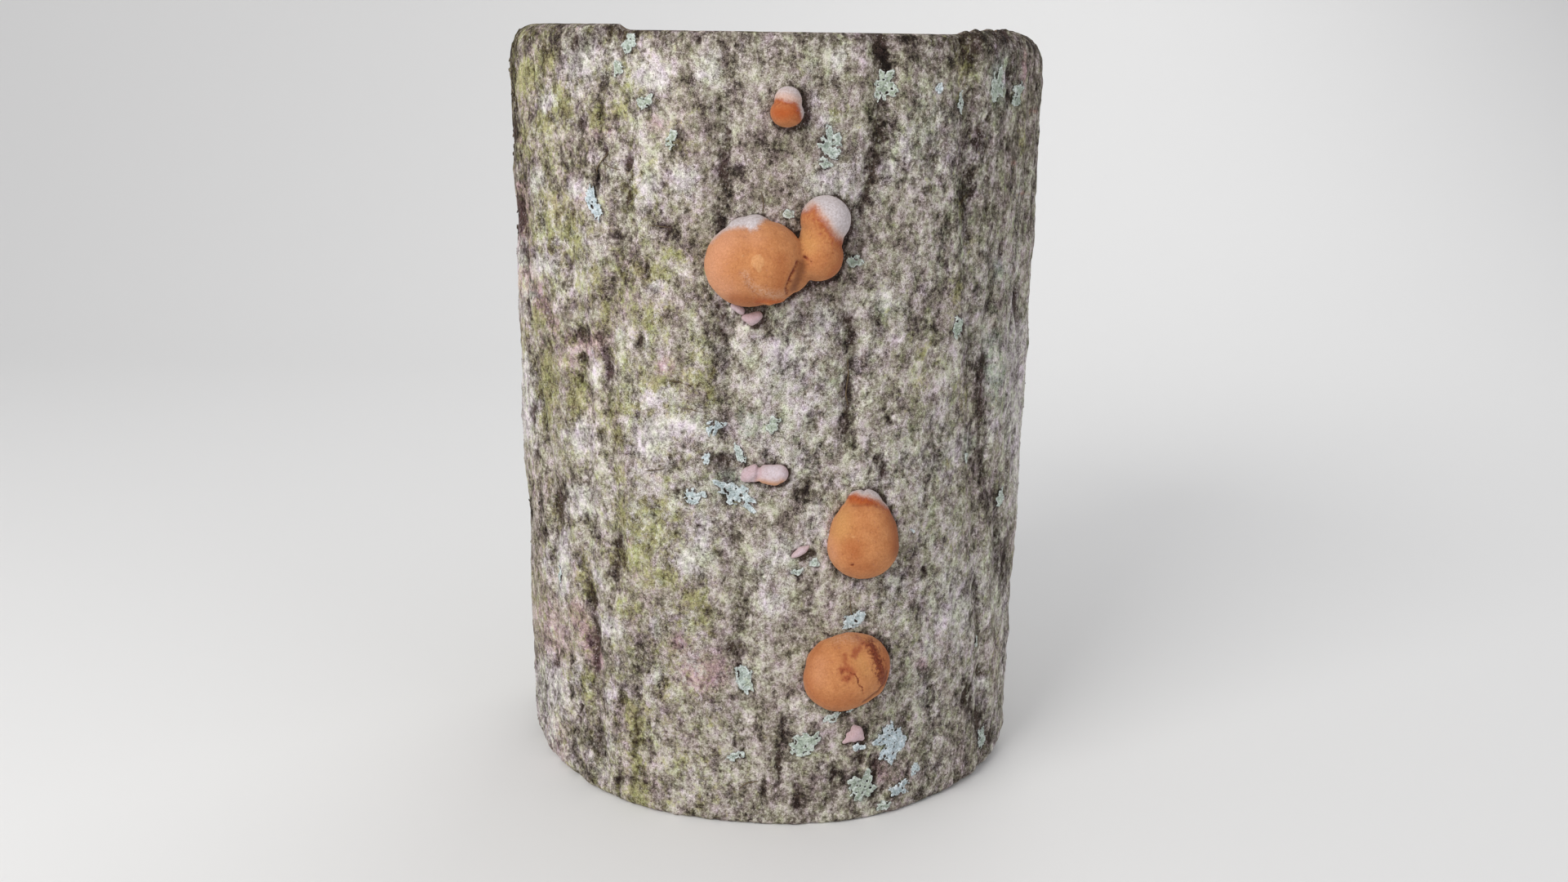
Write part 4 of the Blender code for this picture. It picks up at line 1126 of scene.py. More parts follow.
def make_bark(bark_material, wood_material):
    """The section of trunk: bark all round, and end grain on both cuts."""
    turns = column_turns()
    profiles = [trunk_profile(turn) for turn in turns]
    rings = len(profiles[0][0])
    turn = np.repeat(turns, rings)
    height = np.concatenate([profile[0] for profile in profiles])
    inset = np.concatenate([profile[1] for profile in profiles])
    wall, amounts, _ = bark_surface(turn, height, inset)
    wall[:, 2] = height
    foot_ids = np.arange(len(turns)) * rings
    top_ids = foot_ids + rings - 1
    top_centre = np.array((0.0, 0.0, TRUNK_HEIGHT))
    foot_centre = np.array((TRUNK_LEAN, 0.0, 0.0))
    top_rows = cut_rows(wall[top_ids], top_centre, turns, 1.0)
    foot_rows = cut_rows(wall[foot_ids], foot_centre, turns, -1.0)
    points = np.concatenate([wall] + top_rows + foot_rows + [[top_centre, foot_centre]])
    wall_count = len(wall)
    step_saw_cut(points, wall_count)
    rows = len(CAP_SHARES)
    columns = len(turns)
    wall_faces = grid_faces(columns, rings)
    top_start = wall_count
    foot_start = wall_count + rows * columns
    top_centre_id = wall_count + 2 * rows * columns
    top_faces = cut_faces(top_ids, top_start, rows, top_centre_id, True)
    foot_faces = cut_faces(foot_ids, foot_start, rows, top_centre_id + 1, False)
    mesh = bpy.data.meshes.new("bark_log")
    mesh.from_pydata(points.tolist(), [], wall_faces + top_faces + foot_faces)
    mesh.validate()
    gap = gap_shadow_amounts(turn, height)
    # The painted shadow round fungi and lichens joins the dark field
    amounts["dark"] = np.clip(np.maximum(amounts["dark"], gap), 0.0, DARKEST)
    light = np.clip(1.0 - GRAIN_SHYNESS * amounts["dark"], 0.0, 1.0)
    amounts["algae_room"] = amounts["olive"] * light
    amounts["crust_room"] = amounts["pale"] * light
    amounts["flake_room"] = amounts["dark"] * smooth_step(1.0 - gap, *FLAKE_LEVELS)
    for kind, amount in amounts.items():
        add_field(mesh, kind, np.concatenate((amount, np.zeros(len(points) - wall_count))))
    wood = np.zeros(len(mesh.polygons), dtype=np.int32)
    wood[len(wall_faces):] = 1
    obj = add_object("bark_log", mesh, bark_material, wood_material)
    mesh.polygons.foreach_set("material_index", wood)
    mesh.shade_smooth()
    return obj


def add_node(tree, kind, inputs=None, **settings):
    """Add a node. Inputs gives a value, or the socket that feeds it, for a socket's name or number."""
    node = tree.nodes.new(kind)
    for name, value in settings.items():
        setattr(node, name, value)
    for name, value in (inputs or {}).items():
        if isinstance(value, bpy.types.NodeSocket):
            tree.links.new(value, node.inputs[name])
        else:
            node.inputs[name].default_value = value
    return node


def math_node(tree, operation, *values):
    """Output of a Math node."""
    return add_node(tree, "ShaderNodeMath", dict(enumerate(values)), operation=operation).outputs[0]


def mix_colors(tree, factor, below, above):
    """Output of a Mix node between two colours."""
    node = add_node(tree, "ShaderNodeMix", {0: factor, 6: below, 7: above}, data_type="RGBA")
    return node.outputs[2]


def map_range(tree, value, low, high, to_low=0.0, to_high=1.0, smooth=False):
    """Output of a Map Range node."""
    ranges = {"Value": value, "From Min": low, "From Max": high, "To Min": to_low, "To Max": to_high}
    kind = "SMOOTHSTEP" if smooth else "LINEAR"
    return add_node(tree, "ShaderNodeMapRange", ranges, interpolation_type=kind).outputs[0]


def read_field(tree, name):
    """Output of the node that reads a number kept on the mesh."""
    return add_node(tree, "ShaderNodeAttribute", attribute_name=name).outputs["Fac"]


def srgb(red, green, blue):
    """A colour given in 0 to 255 as a screen shows it, as linear light with full alpha."""
    linear = []
    for value in (red, green, blue):
        share = value / 255
        linear.append(share / 12.92 if share <= 0.04045 else ((share + 0.055) / 1.055) ** 2.4)
    return (*linear, 1.0)


FLOAT = "NodeSocketFloat"
COLOR = "NodeSocketColor"
VECTOR = "NodeSocketVector"


def new_group(name, inputs, outputs):
    """A shader node group with named sockets, and its input and output nodes."""
    tree = bpy.data.node_groups.new(name, "ShaderNodeTree")
    for label, kind, value in inputs:
        socket = tree.interface.new_socket(label, in_out="INPUT", socket_type=kind)
        if value is not None:
            socket.default_value = value
    for label, kind in outputs:
        tree.interface.new_socket(label, in_out="OUTPUT", socket_type=kind)
    return tree, tree.nodes.new("NodeGroupInput").outputs, tree.nodes.new("NodeGroupOutput").inputs


def place_group(tree, group, **values):
    """Outputs of a node group placed in a tree; a word's spaces are written as underscores."""
    inputs = {name.replace("_", " "): value for name, value in values.items()}
    return add_node(tree, "ShaderNodeGroup", inputs, node_tree=group).outputs


def grain_group():
    """Noise with cells of a chosen size that are taller than wide, spread out to about 0 to 1."""
    tree, given, result = new_group(
        "Grain",
        (
            ("Position", VECTOR, None), ("Cell", FLOAT, 5 * MM), ("Stretch", FLOAT, 1.5),
            ("Detail", FLOAT, 2.0), ("Spread", FLOAT, 0.25), ("Seed", FLOAT, 0.0), ("Warp", FLOAT, 0.0),
        ),
        (("Value", FLOAT),),
    )
    per_cell = math_node(tree, "DIVIDE", 1.0, given["Cell"])
    up = math_node(tree, "DIVIDE", per_cell, given["Stretch"])
    scale = add_node(tree, "ShaderNodeCombineXYZ", {0: per_cell, 1: per_cell, 2: up}).outputs[0]
    placed = add_node(tree, "ShaderNodeVectorMath", {0: given["Position"], 1: scale}, operation="MULTIPLY")
    texture = add_node(
        tree, "ShaderNodeTexNoise",
        {
            "Vector": placed.outputs[0], "W": given["Seed"], "Scale": 1.0, "Detail": given["Detail"],
            "Distortion": given["Warp"],
        },
        noise_dimensions="4D",
    )
    low = math_node(tree, "SUBTRACT", 0.5, given["Spread"])
    high = math_node(tree, "ADD", 0.5, given["Spread"])
    tree.links.new(map_range(tree, texture.outputs[0], low, high), result["Value"])
    return tree


def crust_group():
    """Lays a thin crust with ragged edges over a colour, darker in its hollows and lighter on its crowns as
    the tone says: partly its own colour, partly painted shade and painted light.
    """
    tree, given, result = new_group(
        "Crust",
        (
            ("Below", COLOR, None), ("Hollow", COLOR, None), ("Crown", COLOR, None),
            ("Tone", FLOAT, 0.5), ("Amount", FLOAT, 0.0), ("Ragged", FLOAT, 0.5), ("Raggedness", FLOAT, 0.9),
        ),
        (("Color", COLOR),),
    )
    drift = math_node(tree, "SUBTRACT", given["Ragged"], 0.5)
    ragged = math_node(tree, "MULTIPLY_ADD", drift, given["Raggedness"], given["Amount"])
    mask = map_range(tree, ragged, *CRUST_LEVELS, smooth=True)
    crust = mix_colors(tree, given["Tone"], given["Hollow"], given["Crown"])
    tree.links.new(mix_colors(tree, mask, given["Below"], crust), result["Color"])
    return tree


def tint_group():
    """Drifts a colour a little towards one tint or another, by a value from 0 to 1."""
    tree, given, result = new_group(
        "Tint",
        (("Color", COLOR, None), ("First", COLOR, None), ("Second", COLOR, None), ("Drift", FLOAT, 0.5)),
        (("Color", COLOR),),
    )
    tint = mix_colors(tree, given["Drift"], given["First"], given["Second"])
    tree.links.new(darken(tree, given["Color"], 1.0, tint), result["Color"])
    return tree


def darken(tree, color, amount, shade):
    """A colour multiplied by a shade, as far as the amount says."""
    node = add_node(
        tree, "ShaderNodeMix", {0: amount, 6: color, 7: shade}, data_type="RGBA", blend_type="MULTIPLY",
    )
    return node.outputs[2]


def color_steps(tree, value, *steps):
    """Output of a colour ramp, whose steps are (place, colour)."""
    node = add_node(tree, "ShaderNodeValToRGB", {0: value})
    elements = node.color_ramp.elements
    for _ in steps[2:]:
        elements.new(0.5)
    for element, (place, color) in zip(elements, steps):
        element.position = place
        element.color = color
    return node.outputs[0]


def object_position(tree):
    """Output of the piece's own coordinates, in metres."""
    return add_node(tree, "ShaderNodeTexCoord").outputs["Object"]


def finish_shader(tree, color, roughness, height, strength, distance, **constants):
    """A Principled shader with a bump, and its constants set on its own sockets."""
    shader = tree.nodes["Principled BSDF"]
    bump = add_node(tree, "ShaderNodeBump", {"Height": height, "Strength": strength, "Distance": distance})
    tree.links.new(bump.outputs[0], shader.inputs["Normal"])
    tree.links.new(color, shader.inputs["Base Color"])
    tree.links.new(roughness, shader.inputs["Roughness"])
    for name, value in constants.items():
        shader.inputs[name.replace("_", " ")].default_value = value


def new_material(name):
    """An empty node material and its tree."""
    material = bpy.data.materials.new(name)
    material.use_nodes = True
    return material, material.node_tree


def place_mottles(tree, grain, mottles):
    """Outputs of the grain group, placed once for each mottle of a piece's material, by its name."""
    position = object_position(tree)
    outputs = {}
    for name, mottle in mottles.items():
        outputs[name] = place_group(
            tree, grain, Position=position, Cell=mottle.cell * MM, Stretch=mottle.stretch,
            Detail=mottle.detail, Spread=mottle.spread, Seed=mottle.seed, Warp=mottle.warp,
        )[0]
    return outputs


def blend(tree, outputs, weights):
    """Sum of named outputs times their weights."""
    total = 0.0
    for name, weight in weights.items():
        total = math_node(tree, "MULTIPLY_ADD", outputs[name], weight, total)
    return total


def lay_over(tree, color, over, share, most=1.0):
    """A colour laid over another as far as a value says, times the most that it may cover."""
    if most < 1.0:
        share = math_node(tree, "MULTIPLY", share, most)
    return mix_colors(tree, share, color, over)


def make_bark_material(groups):
    """Weathered bark: mottled grey and beige, with crusts, algae, painted shade in its hollows, and specks.
    """
    material, tree = new_material("weathered_bark")
    mottles = place_mottles(tree, groups["grain"], BARK_MOTTLES)
    blends = {name: blend(tree, mottles, weights) for name, weights in BARK_BLENDS.items()}
    fibrous = math_node(tree, "MULTIPLY", read_field(tree, "strands"), FIBROUS_MOST)
    tone = add_node(
        tree, "ShaderNodeMix", {0: fibrous, 2: blends["plain_tone"], 3: blends["fibrous_tone"]},
    )
    tone = map_range(tree, tone.outputs[0], *TONE_LEVELS)
    # The tone follows much the same noise as the bump's height, so its dark end is partly painted shade in
    # the grain's hollows and its light end partly painted light on its crowns
    color = color_steps(
        tree, tone, (0.0, srgb(62, 53, 48)), (0.45, srgb(142, 133, 123)), (1.0, srgb(218, 212, 208)),
    )
    layers = (
        ("mint", srgb(86, 94, 84), srgb(208, 217, 209), "ragged", 1.5),
        ("pink", srgb(108, 84, 88), srgb(226, 198, 201), "ragged_too", 1.7),
        ("olive", srgb(72, 58, 34), srgb(196, 194, 146), "ragged", 2.2),
        ("pale", srgb(112, 104, 102), srgb(246, 242, 244), "ragged_too", 1.9),
        ("rust", srgb(112, 66, 62), srgb(202, 146, 138), "ragged", 1.0),
    )
    for field, hollow, crown, edge, raggedness in layers:
        color = place_group(
            tree, groups["crust"], Below=color, Hollow=hollow, Crown=crown, Tone=tone,
            Amount=read_field(tree, field), Ragged=blends[edge], Raggedness=raggedness,
        )[0]
    color = place_group(
        tree, groups["tint"], Color=color, First=(0.89, 0.97, 0.73, 1.0), Second=(1.01, 0.90, 1.02, 1.0),
        Drift=map_range(tree, blends["tint"], *HUE_LEVELS),
    )[0]
    # Painted shade: the dark field and the hollows of the noise darken the colour
    dark = math_node(tree, "ADD", read_field(tree, "dark"), SHADE_START)
    shade = math_node(tree, "MULTIPLY_ADD", blends["hollows"], HOLLOWS_WEIGHT, dark)
    color = darken(tree, color, map_range(tree, shade, *SHADE_LEVELS), (0.17, 0.13, 0.12, 1.0))
    # The pits are painted shade where the bump sinks; the flecks are the bark's own dark and light specks
    specks = (
        ("pits", (0.2, 0.02, 0.0, 0.85), (0.26, 0.21, 0.20, 1.0)),
        ("flecks", (0.16, 0.0, 0.0, 0.65), (0.36, 0.31, 0.29, 1.0)),
    )
    for name, levels, speck_shade in specks:
        color = darken(tree, color, map_range(tree, mottles[name], *levels), speck_shade)
    bright = math_node(tree, "MULTIPLY", map_range(tree, mottles["flecks"], 0.75, 1.0, 0.0, 0.6), tone)
    color = mix_colors(tree, bright, color, srgb(238, 233, 230))
    roughness = map_range(tree, tone, 0.0, 1.0, 0.82, 0.96)
    finish_shader(tree, color, roughness, blends["height"], 0.9, 1.4 * MM, Specular_IOR_Level=0.2)
    return material


def make_wood_material(groups):
    """End grain: weathered growth rings, rays and a dark ring of bark round the edge."""
    material, tree = new_material("end_grain")
    mottles = place_mottles(tree, groups["grain"], WOOD_MOTTLES)
    rounder = add_node(
        tree, "ShaderNodeVectorMath", {0: object_position(tree), 1: (1.0, 1.0 / TRUNK_DEPTH_RATIO, 0.0)},
        operation="MULTIPLY",
    ).outputs[0]
    radius = add_node(tree, "ShaderNodeVectorMath", {0: rounder}, operation="LENGTH").outputs["Value"]
    wobbly = math_node(tree, "MULTIPLY_ADD", mottles["wander"], RING_WANDER, radius)
    ring_phase = math_node(tree, "MULTIPLY", wobbly, 2 * math.pi / RING_SPACING)
    ring = math_node(tree, "MULTIPLY_ADD", math_node(tree, "SINE", ring_phase), 0.5, 0.5)
    late = math_node(tree, "POWER", ring, RING_SHARPNESS)
    parts = add_node(tree, "ShaderNodeSeparateXYZ", {0: rounder}).outputs
    around = math_node(tree, "MULTIPLY", math_node(tree, "ARCTAN2", parts[1], parts[0]), RAYS_AROUND)
    outward = math_node(tree, "MULTIPLY", radius, RAYS_OUTWARD)
    spokes = add_node(tree, "ShaderNodeCombineXYZ", {0: around, 1: outward}).outputs[0]
    ray = add_node(tree, "ShaderNodeTexNoise", {"Vector": spokes, "Scale": 1.0, "Detail": 3.0}).outputs[0]
    rays = map_range(tree, ray, *RAY_LEVELS)

    color = mix_colors(tree, mottles["stain"], srgb(150, 132, 106), srgb(196, 178, 148))
    layers = (
        (late, 0.5, srgb(112, 92, 68)),
        (rays, 0.22, srgb(208, 192, 164)),
        (mottles["fine"], 0.18, srgb(96, 82, 64)),
        (map_range(tree, radius, *HEART_RADII, smooth=True), 0.45, srgb(136, 104, 74)),
    )
    for share, most, over in layers:
        color = lay_over(tree, color, over, share, most)
    rim_wander = math_node(tree, "MULTIPLY_ADD", mottles["wander"], INNER_BARK_WANDER, radius)
    inner_bark = map_range(tree, rim_wander, *INNER_BARK_RADII, smooth=True)
    rim_color = mix_colors(tree, mottles["fine"], srgb(70, 54, 40), srgb(126, 102, 78))
    color = mix_colors(tree, inner_bark, color, rim_color)

    heights = {"late": late, "rays": rays, **mottles}
    height = blend(tree, heights, {"late": -0.4, "fine": 0.3, "saw": 0.3, "rays": 0.1})
    roughness = map_range(tree, mottles["fine"], 0.0, 1.0, 0.75, 0.92)
    finish_shader(tree, color, roughness, height, 0.5, 0.5 * MM, Specular_IOR_Level=0.3)
    return material


def make_flesh_material(name, groups, light, deep, margin):
    """Velvety flesh between two colours, with a margin, bloom, bands and scars from the mesh's fields."""
    material, tree = new_material(name)
    mottles = place_mottles(tree, groups["grain"], FLESH_MOTTLES)
    blotch, pile = mottles["blotch"], mottles["pile"]
    color = mix_colors(tree, blend(tree, mottles, {"cloud": 0.6, "blotch": 0.4}), light, deep)
    # The ruddy tint on the right rims and the darkest tint are painted shade on the sides away from the light
    tints = (
        ("salmon", srgb(220, 158, 122), 0.9), ("gold", srgb(214, 158, 98), 0.85),
        ("ruddy", srgb(178, 100, 54), 0.85), ("ember", srgb(182, 90, 42), 0.9),
        ("rosy", srgb(208, 181, 191), 0.9), ("blush", srgb(224, 164, 116), 0.95),
        ("dusk", srgb(124, 70, 42), 0.8), ("spot", srgb(220, 162, 112), 0.9), ("margin", margin, 0.5),
    )
    for field, tint, most in tints:
        color = lay_over(tree, color, tint, read_field(tree, field), most)
    mottled = blend(tree, mottles, {"blotch": 0.55, "pile": 0.45})
    scar_color = mix_colors(tree, pile, srgb(92, 34, 18), srgb(152, 72, 40))
    bloom_color = mix_colors(tree, mottled, srgb(192, 184, 190), srgb(232, 226, 232))
    bloom_color = lay_over(tree, bloom_color, srgb(218, 178, 160), read_field(tree, "flush"), 0.8)
    marks = (
        ("shade", srgb(112, 56, 30), mottled, 0.35, (0.04, 1.0), 0.85),
        ("band", srgb(164, 68, 24), blotch, 0.5, (0.1, 0.95), 0.94),
        ("stain", srgb(158, 72, 48), mottled, 0.9, (0.15, 1.05), 0.75),
        ("scar", scar_color, blotch, 0.9, (0.18, 0.86), 1.0),
        ("bloom", bloom_color, mottled, 0.4, (0.0, 0.98), 1.0),
    )
    for field, over, edge, looseness, levels, most in marks:
        drift = math_node(tree, "SUBTRACT", edge, 0.5)
        loose = math_node(tree, "MULTIPLY_ADD", drift, looseness, read_field(tree, field))
        color = lay_over(tree, color, over, map_range(tree, loose, *levels, smooth=True), most)
    frost = math_node(tree, "MULTIPLY", read_field(tree, "frost"), map_range(tree, pile, 0.2, 0.8))
    color = mix_colors(tree, frost, color, srgb(214, 176, 156))
    # Painted shade in the pile: the flesh is darkened where the nap, which is also the bump's height, is low
    nap = blend(tree, mottles, {"pile": 0.55, "fuzz": 0.45})
    color = place_group(
        tree, groups["tint"], Color=color, First=(0.64, 0.59, 0.52, 1.0), Second=(1.0, 1.0, 1.0, 1.0),
        Drift=nap,
    )[0]
    roughness = map_range(tree, nap, 0.0, 1.0, 0.75, 0.95)
    finish_shader(
        tree, color, roughness, nap, 0.6, 0.3 * MM,
        Specular_IOR_Level=0.1, Sheen_Weight=0.14, Sheen_Roughness=0.6, Sheen_Tint=(1.0, 0.80, 0.66, 1.0),
    )
    return material


def make_lichen_material(groups):
    """Leafy lichen: mint to pale blue lobes with paler tips, dark undersides, and painted shade near the
    edges of their tops where they shade themselves.
    """
    material, tree = new_material("leafy_lichen")
    mottles = place_mottles(tree, groups["grain"], LICHEN_MOTTLES)
    fine, broad = mottles["fine"], mottles["broad"]
    mint = mix_colors(tree, broad, srgb(122, 134, 110), srgb(200, 210, 190))
    blue = mix_colors(tree, broad, srgb(146, 162, 166), srgb(216, 229, 238))
    color = mix_colors(tree, read_field(tree, "blue"), mint, blue)
    tip = math_node(tree, "MULTIPLY", read_field(tree, "tip"), fine)
    color = mix_colors(tree, tip, color, srgb(236, 240, 240))
    color = lay_over(tree, color, srgb(86, 90, 76), map_range(tree, fine, 0.5, 0.05), 0.85)
    color = lay_over(tree, color, srgb(58, 54, 46), read_field(tree, "under"), 0.85)
    roughness = map_range(tree, fine, 0.0, 1.0, 0.8, 0.95)
    finish_shader(tree, color, roughness, fine, 0.7, 0.4 * MM, Specular_IOR_Level=0.2)
    return material


def make_algae_material(groups):
    """Algae: yellow green to olive."""
    material, tree = new_material("green_algae")
    mottles = place_mottles(tree, groups["grain"], ALGAE_MOTTLES)
    fine = mottles["fine"]
    color = mix_colors(tree, mottles["patch"], srgb(96, 86, 56), srgb(158, 156, 114))
    color = lay_over(tree, color, srgb(200, 200, 172), fine, 0.45)
    roughness = map_range(tree, fine, 0.0, 1.0, 0.85, 0.97)
    finish_shader(tree, color, roughness, fine, 0.4, 0.2 * MM, Specular_IOR_Level=0.2)
    return material


def make_thread_material(groups):
    """Dry brown threads and twig ends."""
    material, tree = new_material("dry_thread")
    fibre = place_mottles(tree, groups["grain"], THREAD_MOTTLES)["fibre"]
    color = mix_colors(tree, fibre, srgb(70, 58, 44), srgb(128, 110, 84))
    roughness = map_range(tree, fibre, 0.0, 1.0, 0.8, 0.95)
    finish_shader(tree, color, roughness, fibre, 0.4, 0.15 * MM, Specular_IOR_Level=0.25)
    return material


def make_floor_material():
    """Plain pale studio paper."""
    material, tree = new_material("studio_paper")
    shader = tree.nodes["Principled BSDF"]
    shader.inputs["Base Color"].default_value = FLOOR_COLOR
    shader.inputs["Roughness"].default_value = FLOOR_ROUGHNESS
    return material


def bark_frame(turn, height, out):
    """Matrix at a place on the bark: X sideways along it, Y up, Z straight out."""
    angle = math.radians(turn)
    origin = Vector(oval_points(turn, height, out))
    side = Vector((math.cos(angle), TRUNK_DEPTH_RATIO * math.sin(angle), 0.0)).normalized()
    up = Vector((0.0, 0.0, 1.0))
    turned = Matrix((side, up, side.cross(up))).transposed()
    return Matrix.Translation(origin) @ turned.to_4x4()


def lobe_matrix(lobe):
    """Places and stretches a unit ball into a lobe."""
    place = bark_frame(lobe.turn, lobe.height * MM, lobe.out * MM)
    tilt = Matrix.Rotation(math.radians(lobe.tilt), 4, "Z")
    half_sizes = (lobe.half_side * MM, lobe.half_up * MM, lobe.half_out * MM)
    return place @ tilt @ Matrix.Diagonal((*half_sizes, 1.0))


def plain_copy(obj, name):
    """The object as its modifiers leave it, as a new mesh with none; the object itself is removed."""
    depsgraph = bpy.context.evaluated_depsgraph_get()
    mesh = bpy.data.meshes.new_from_object(obj.evaluated_get(depsgraph))
    bpy.data.objects.remove(obj, do_unlink=True)
    mesh.name = name
    return mesh


def grown_body(name, lobes, voxel, soften_steps):
    """One smooth body grown from overlapping lobes."""
    bm = bmesh.new()
    for lobe in lobes:
        bmesh.ops.create_icosphere(bm, subdivisions=5, radius=1.0, matrix=lobe_matrix(lobe))
    mesh = bpy.data.meshes.new(name)
    bm.to_mesh(mesh)
    bm.free()
    obj = add_object(name, mesh)
    fuse = obj.modifiers.new("fuse_lobes", "REMESH")
    fuse.mode = "VOXEL"
    fuse.voxel_size = voxel
    soften = obj.modifiers.new("soften", "SMOOTH")
    soften.factor = 0.5
    soften.iterations = soften_steps
    return plain_copy(obj, name)


def mesh_rows(mesh, kind):
    """Places ("co") or normals ("normal") of a mesh's points, as rows of x, y, z."""
    flat = np.empty(len(mesh.vertices) * 3)
    mesh.vertices.foreach_get(kind, flat)
    return flat.reshape(-1, 3)


def set_points(mesh, points):
    """Move the points of a mesh."""
    mesh.vertices.foreach_set("co", points.ravel())
    mesh.update()


def path_distance(x, y, path):
    """Distance in pixels from each seen place to a path that runs to the right, positive above it."""
    nearest = np.full(len(x), 1e9)
    sign = np.ones(len(x))
    for (x_a, y_a), (x_b, y_b) in zip(path, path[1:]):
        along_x, along_y = x_b - x_a, y_b - y_a
        share = ((x - x_a) * along_x + (y - y_a) * along_y) / (along_x ** 2 + along_y ** 2)
        share = np.clip(share, 0.0, 1.0)
        away_x = x - x_a - share * along_x
        away_y = y - y_a - share * along_y
        distance = np.hypot(away_x, away_y)
        closer = distance < nearest
        nearest = np.where(closer, distance, nearest)
        sign = np.where(closer, np.sign(along_y * away_x - along_x * away_y), sign)
    return nearest * sign


def facing_camera(points, normals):
    """How squarely each place of a surface faces the photograph's camera: 1 straight, 0 edge-on."""
    towards = np.array(CAMERA_PLACE) - points
    towards /= np.linalg.norm(towards, axis=1)[:, None]
    return np.sum(towards * normals, axis=1)


def paint_marks(name, points, normals):
    """Fields of each kind of mark on a fungus, and how deep the marks are pressed into it.

    Narrow marks end where the flesh turns away from the camera, beyond which nothing shows of them.
    """
    x, y = photo_pixels(points)
    seen = smooth_step(facing_camera(points, normals), *FACING_LEVELS)
    uneven = noise_field(points, MARK_EDGES)
    fields = {kind: np.zeros(len(x)) for kind in MARK_KINDS + EDGE_KINDS}
    depth = np.zeros(len(x))
    for mark in MARKS.get(name, ()):
        distance = np.abs(path_distance(x, y, mark.path))
        share = np.exp(-((distance / mark.half_width) ** 2))
        if mark.kind == "spot":
            inner, outer = SPOT_EDGE
            wavy = distance + SPOT_UNEVEN * mark.half_width * uneven
            share = 1.0 - smooth_step(wavy, inner * mark.half_width, outer * mark.half_width)
        if mark.kind in NARROW_KINDS:
            share = share * seen
        if mark.kind in fields:
            fields[mark.kind] = np.maximum(fields[mark.kind], mark.amount * share)
        depth += mark.depth * share
    for edge in BLOOM_EDGES.get(name, ()):
        above = path_distance(x, y, edge.path) + BLOOM_UNEVEN * uneven
        within = smooth_step(x, edge.left - BLOOM_END_FADE, edge.left + BLOOM_END_FADE)
        within = within * (1 - smooth_step(x, edge.right - BLOOM_END_FADE, edge.right + BLOOM_END_FADE))
        bloom = smooth_step(above, -edge.feather, edge.feather) * within * edge.amount
        fields["bloom"] = np.maximum(fields["bloom"], bloom)
        if edge.band:
            band = np.exp(-np.maximum(-above, 0.0) / edge.band)
            band = band * smooth_step(above, BAND_START * edge.feather, -edge.feather)
            fields["band"] = np.maximum(fields["band"], band * within)
    return fields, depth


def make_fungus(name, lobes, material):
    """One fungus body with its small relief and marks, rooted a little way into the bark."""
    large = name in LARGE_SOFTEN_STEPS
    soften_steps = LARGE_SOFTEN_STEPS.get(name, SMALL_SOFTEN_STEPS)
    mesh = grown_body(name + "_flesh", lobes, LARGE_VOXEL if large else SMALL_VOXEL, soften_steps)
    points = mesh_rows(mesh, "co")
    normals = mesh_rows(mesh, "normal")
    fields, depth = paint_marks(name, points, normals)
    relief = FLESH_SWELL.size * noise_field(points, FLESH_SWELL)
    relief += FLESH_PIMPLES.size * noise_field(points, FLESH_PIMPLES)
    if not large:
        relief *= SMALL_RELIEF_SHARE
    points = points + normals * (relief - depth)[:, None]
    turn, height, out = bark_places(points)
    bark_out, _ = furrow_relief(turn, height)
    fields["margin"] = 1.0 - smooth_step(out - bark_out, MARGIN_START, MARGIN_REACH)
    rooted = np.maximum(out, bark_out - ROOT_DEPTH)
    set_points(mesh, oval_points(turn, height, rooted))
    for kind, values in fields.items():
        if values.any():
            add_field(mesh, kind, values)
    mesh.shade_smooth()
    return add_object(name + "_flesh", mesh, material)


def lichen_grid(lichen, seed):
    """Grid points within a rosette's lobed, ragged outline, with the outermost moved onto it.

    Gives their places, how deep inside and how high they lie in mm, how near a tip, and which are kept.
    """
    reach = ROSETTE_REACH * lichen.radius * lichen.stretch + LICHEN_CELL
    line = np.arange(-reach, reach + LICHEN_CELL, LICHEN_CELL)
    side, up = np.meshgrid(line, line, indexing="ij")
    places = np.stack((side.ravel(), np.full(side.size, SEED_SPACING * seed), up.ravel()), axis=1) * MM

    def waves(relief):
        return relief.size * noise_field(places, relief).reshape(side.shape)

    tilt = math.radians(lichen.tilt)
    along = (side * math.cos(tilt) + up * math.sin(tilt)) / lichen.stretch
    across = up * math.cos(tilt) - side * math.sin(tilt)
    turned = np.arctan2(across, along).ravel()
    spokes = lichen.lobes / LOBES_PER_SPOKE
    level = np.full(side.size, CIRCLE_SPACING * seed)
    circle = np.stack((spokes * np.cos(turned), level, spokes * np.sin(turned)), axis=1)
    lobed = ROSETTE_LOBES.size * noise_field(circle, ROSETTE_LOBES).reshape(side.shape)
    small = min(1.0, lichen.radius / FULL_RADIUS)
    inside = lichen.radius * (ROSETTE_FILL + lobed) - np.hypot(along, across)
    inside += small * (waves(LOBE_WAVES) + waves(MARGIN_WAVES))
    inside = np.minimum(inside, HOLE_DEPTH * (waves(HOLE_WAVES) + HOLE_LEVEL))
    slope_side, slope_up = np.gradient(inside, LICHEN_CELL)
    slope = np.maximum(np.hypot(slope_side, slope_up), LEAST_SLOPE)
    distance = inside / slope
    pull = np.minimum(distance, 0.0) / slope
    kept = distance > -KEPT_OUTSIDE
    folded = FOLD_LIFT * smooth_step(waves(FOLD_WAVES), *FOLD_LEVELS)
    lift = LEAST_LIFT + folded + np.maximum(waves(CURL_WAVES), 0.0)
    tip = 1.0 - smooth_step(inside, *TIP_DEPTHS)
    return side - pull * slope_side, up - pull * slope_up, np.maximum(distance, 0.0), lift, tip, kept


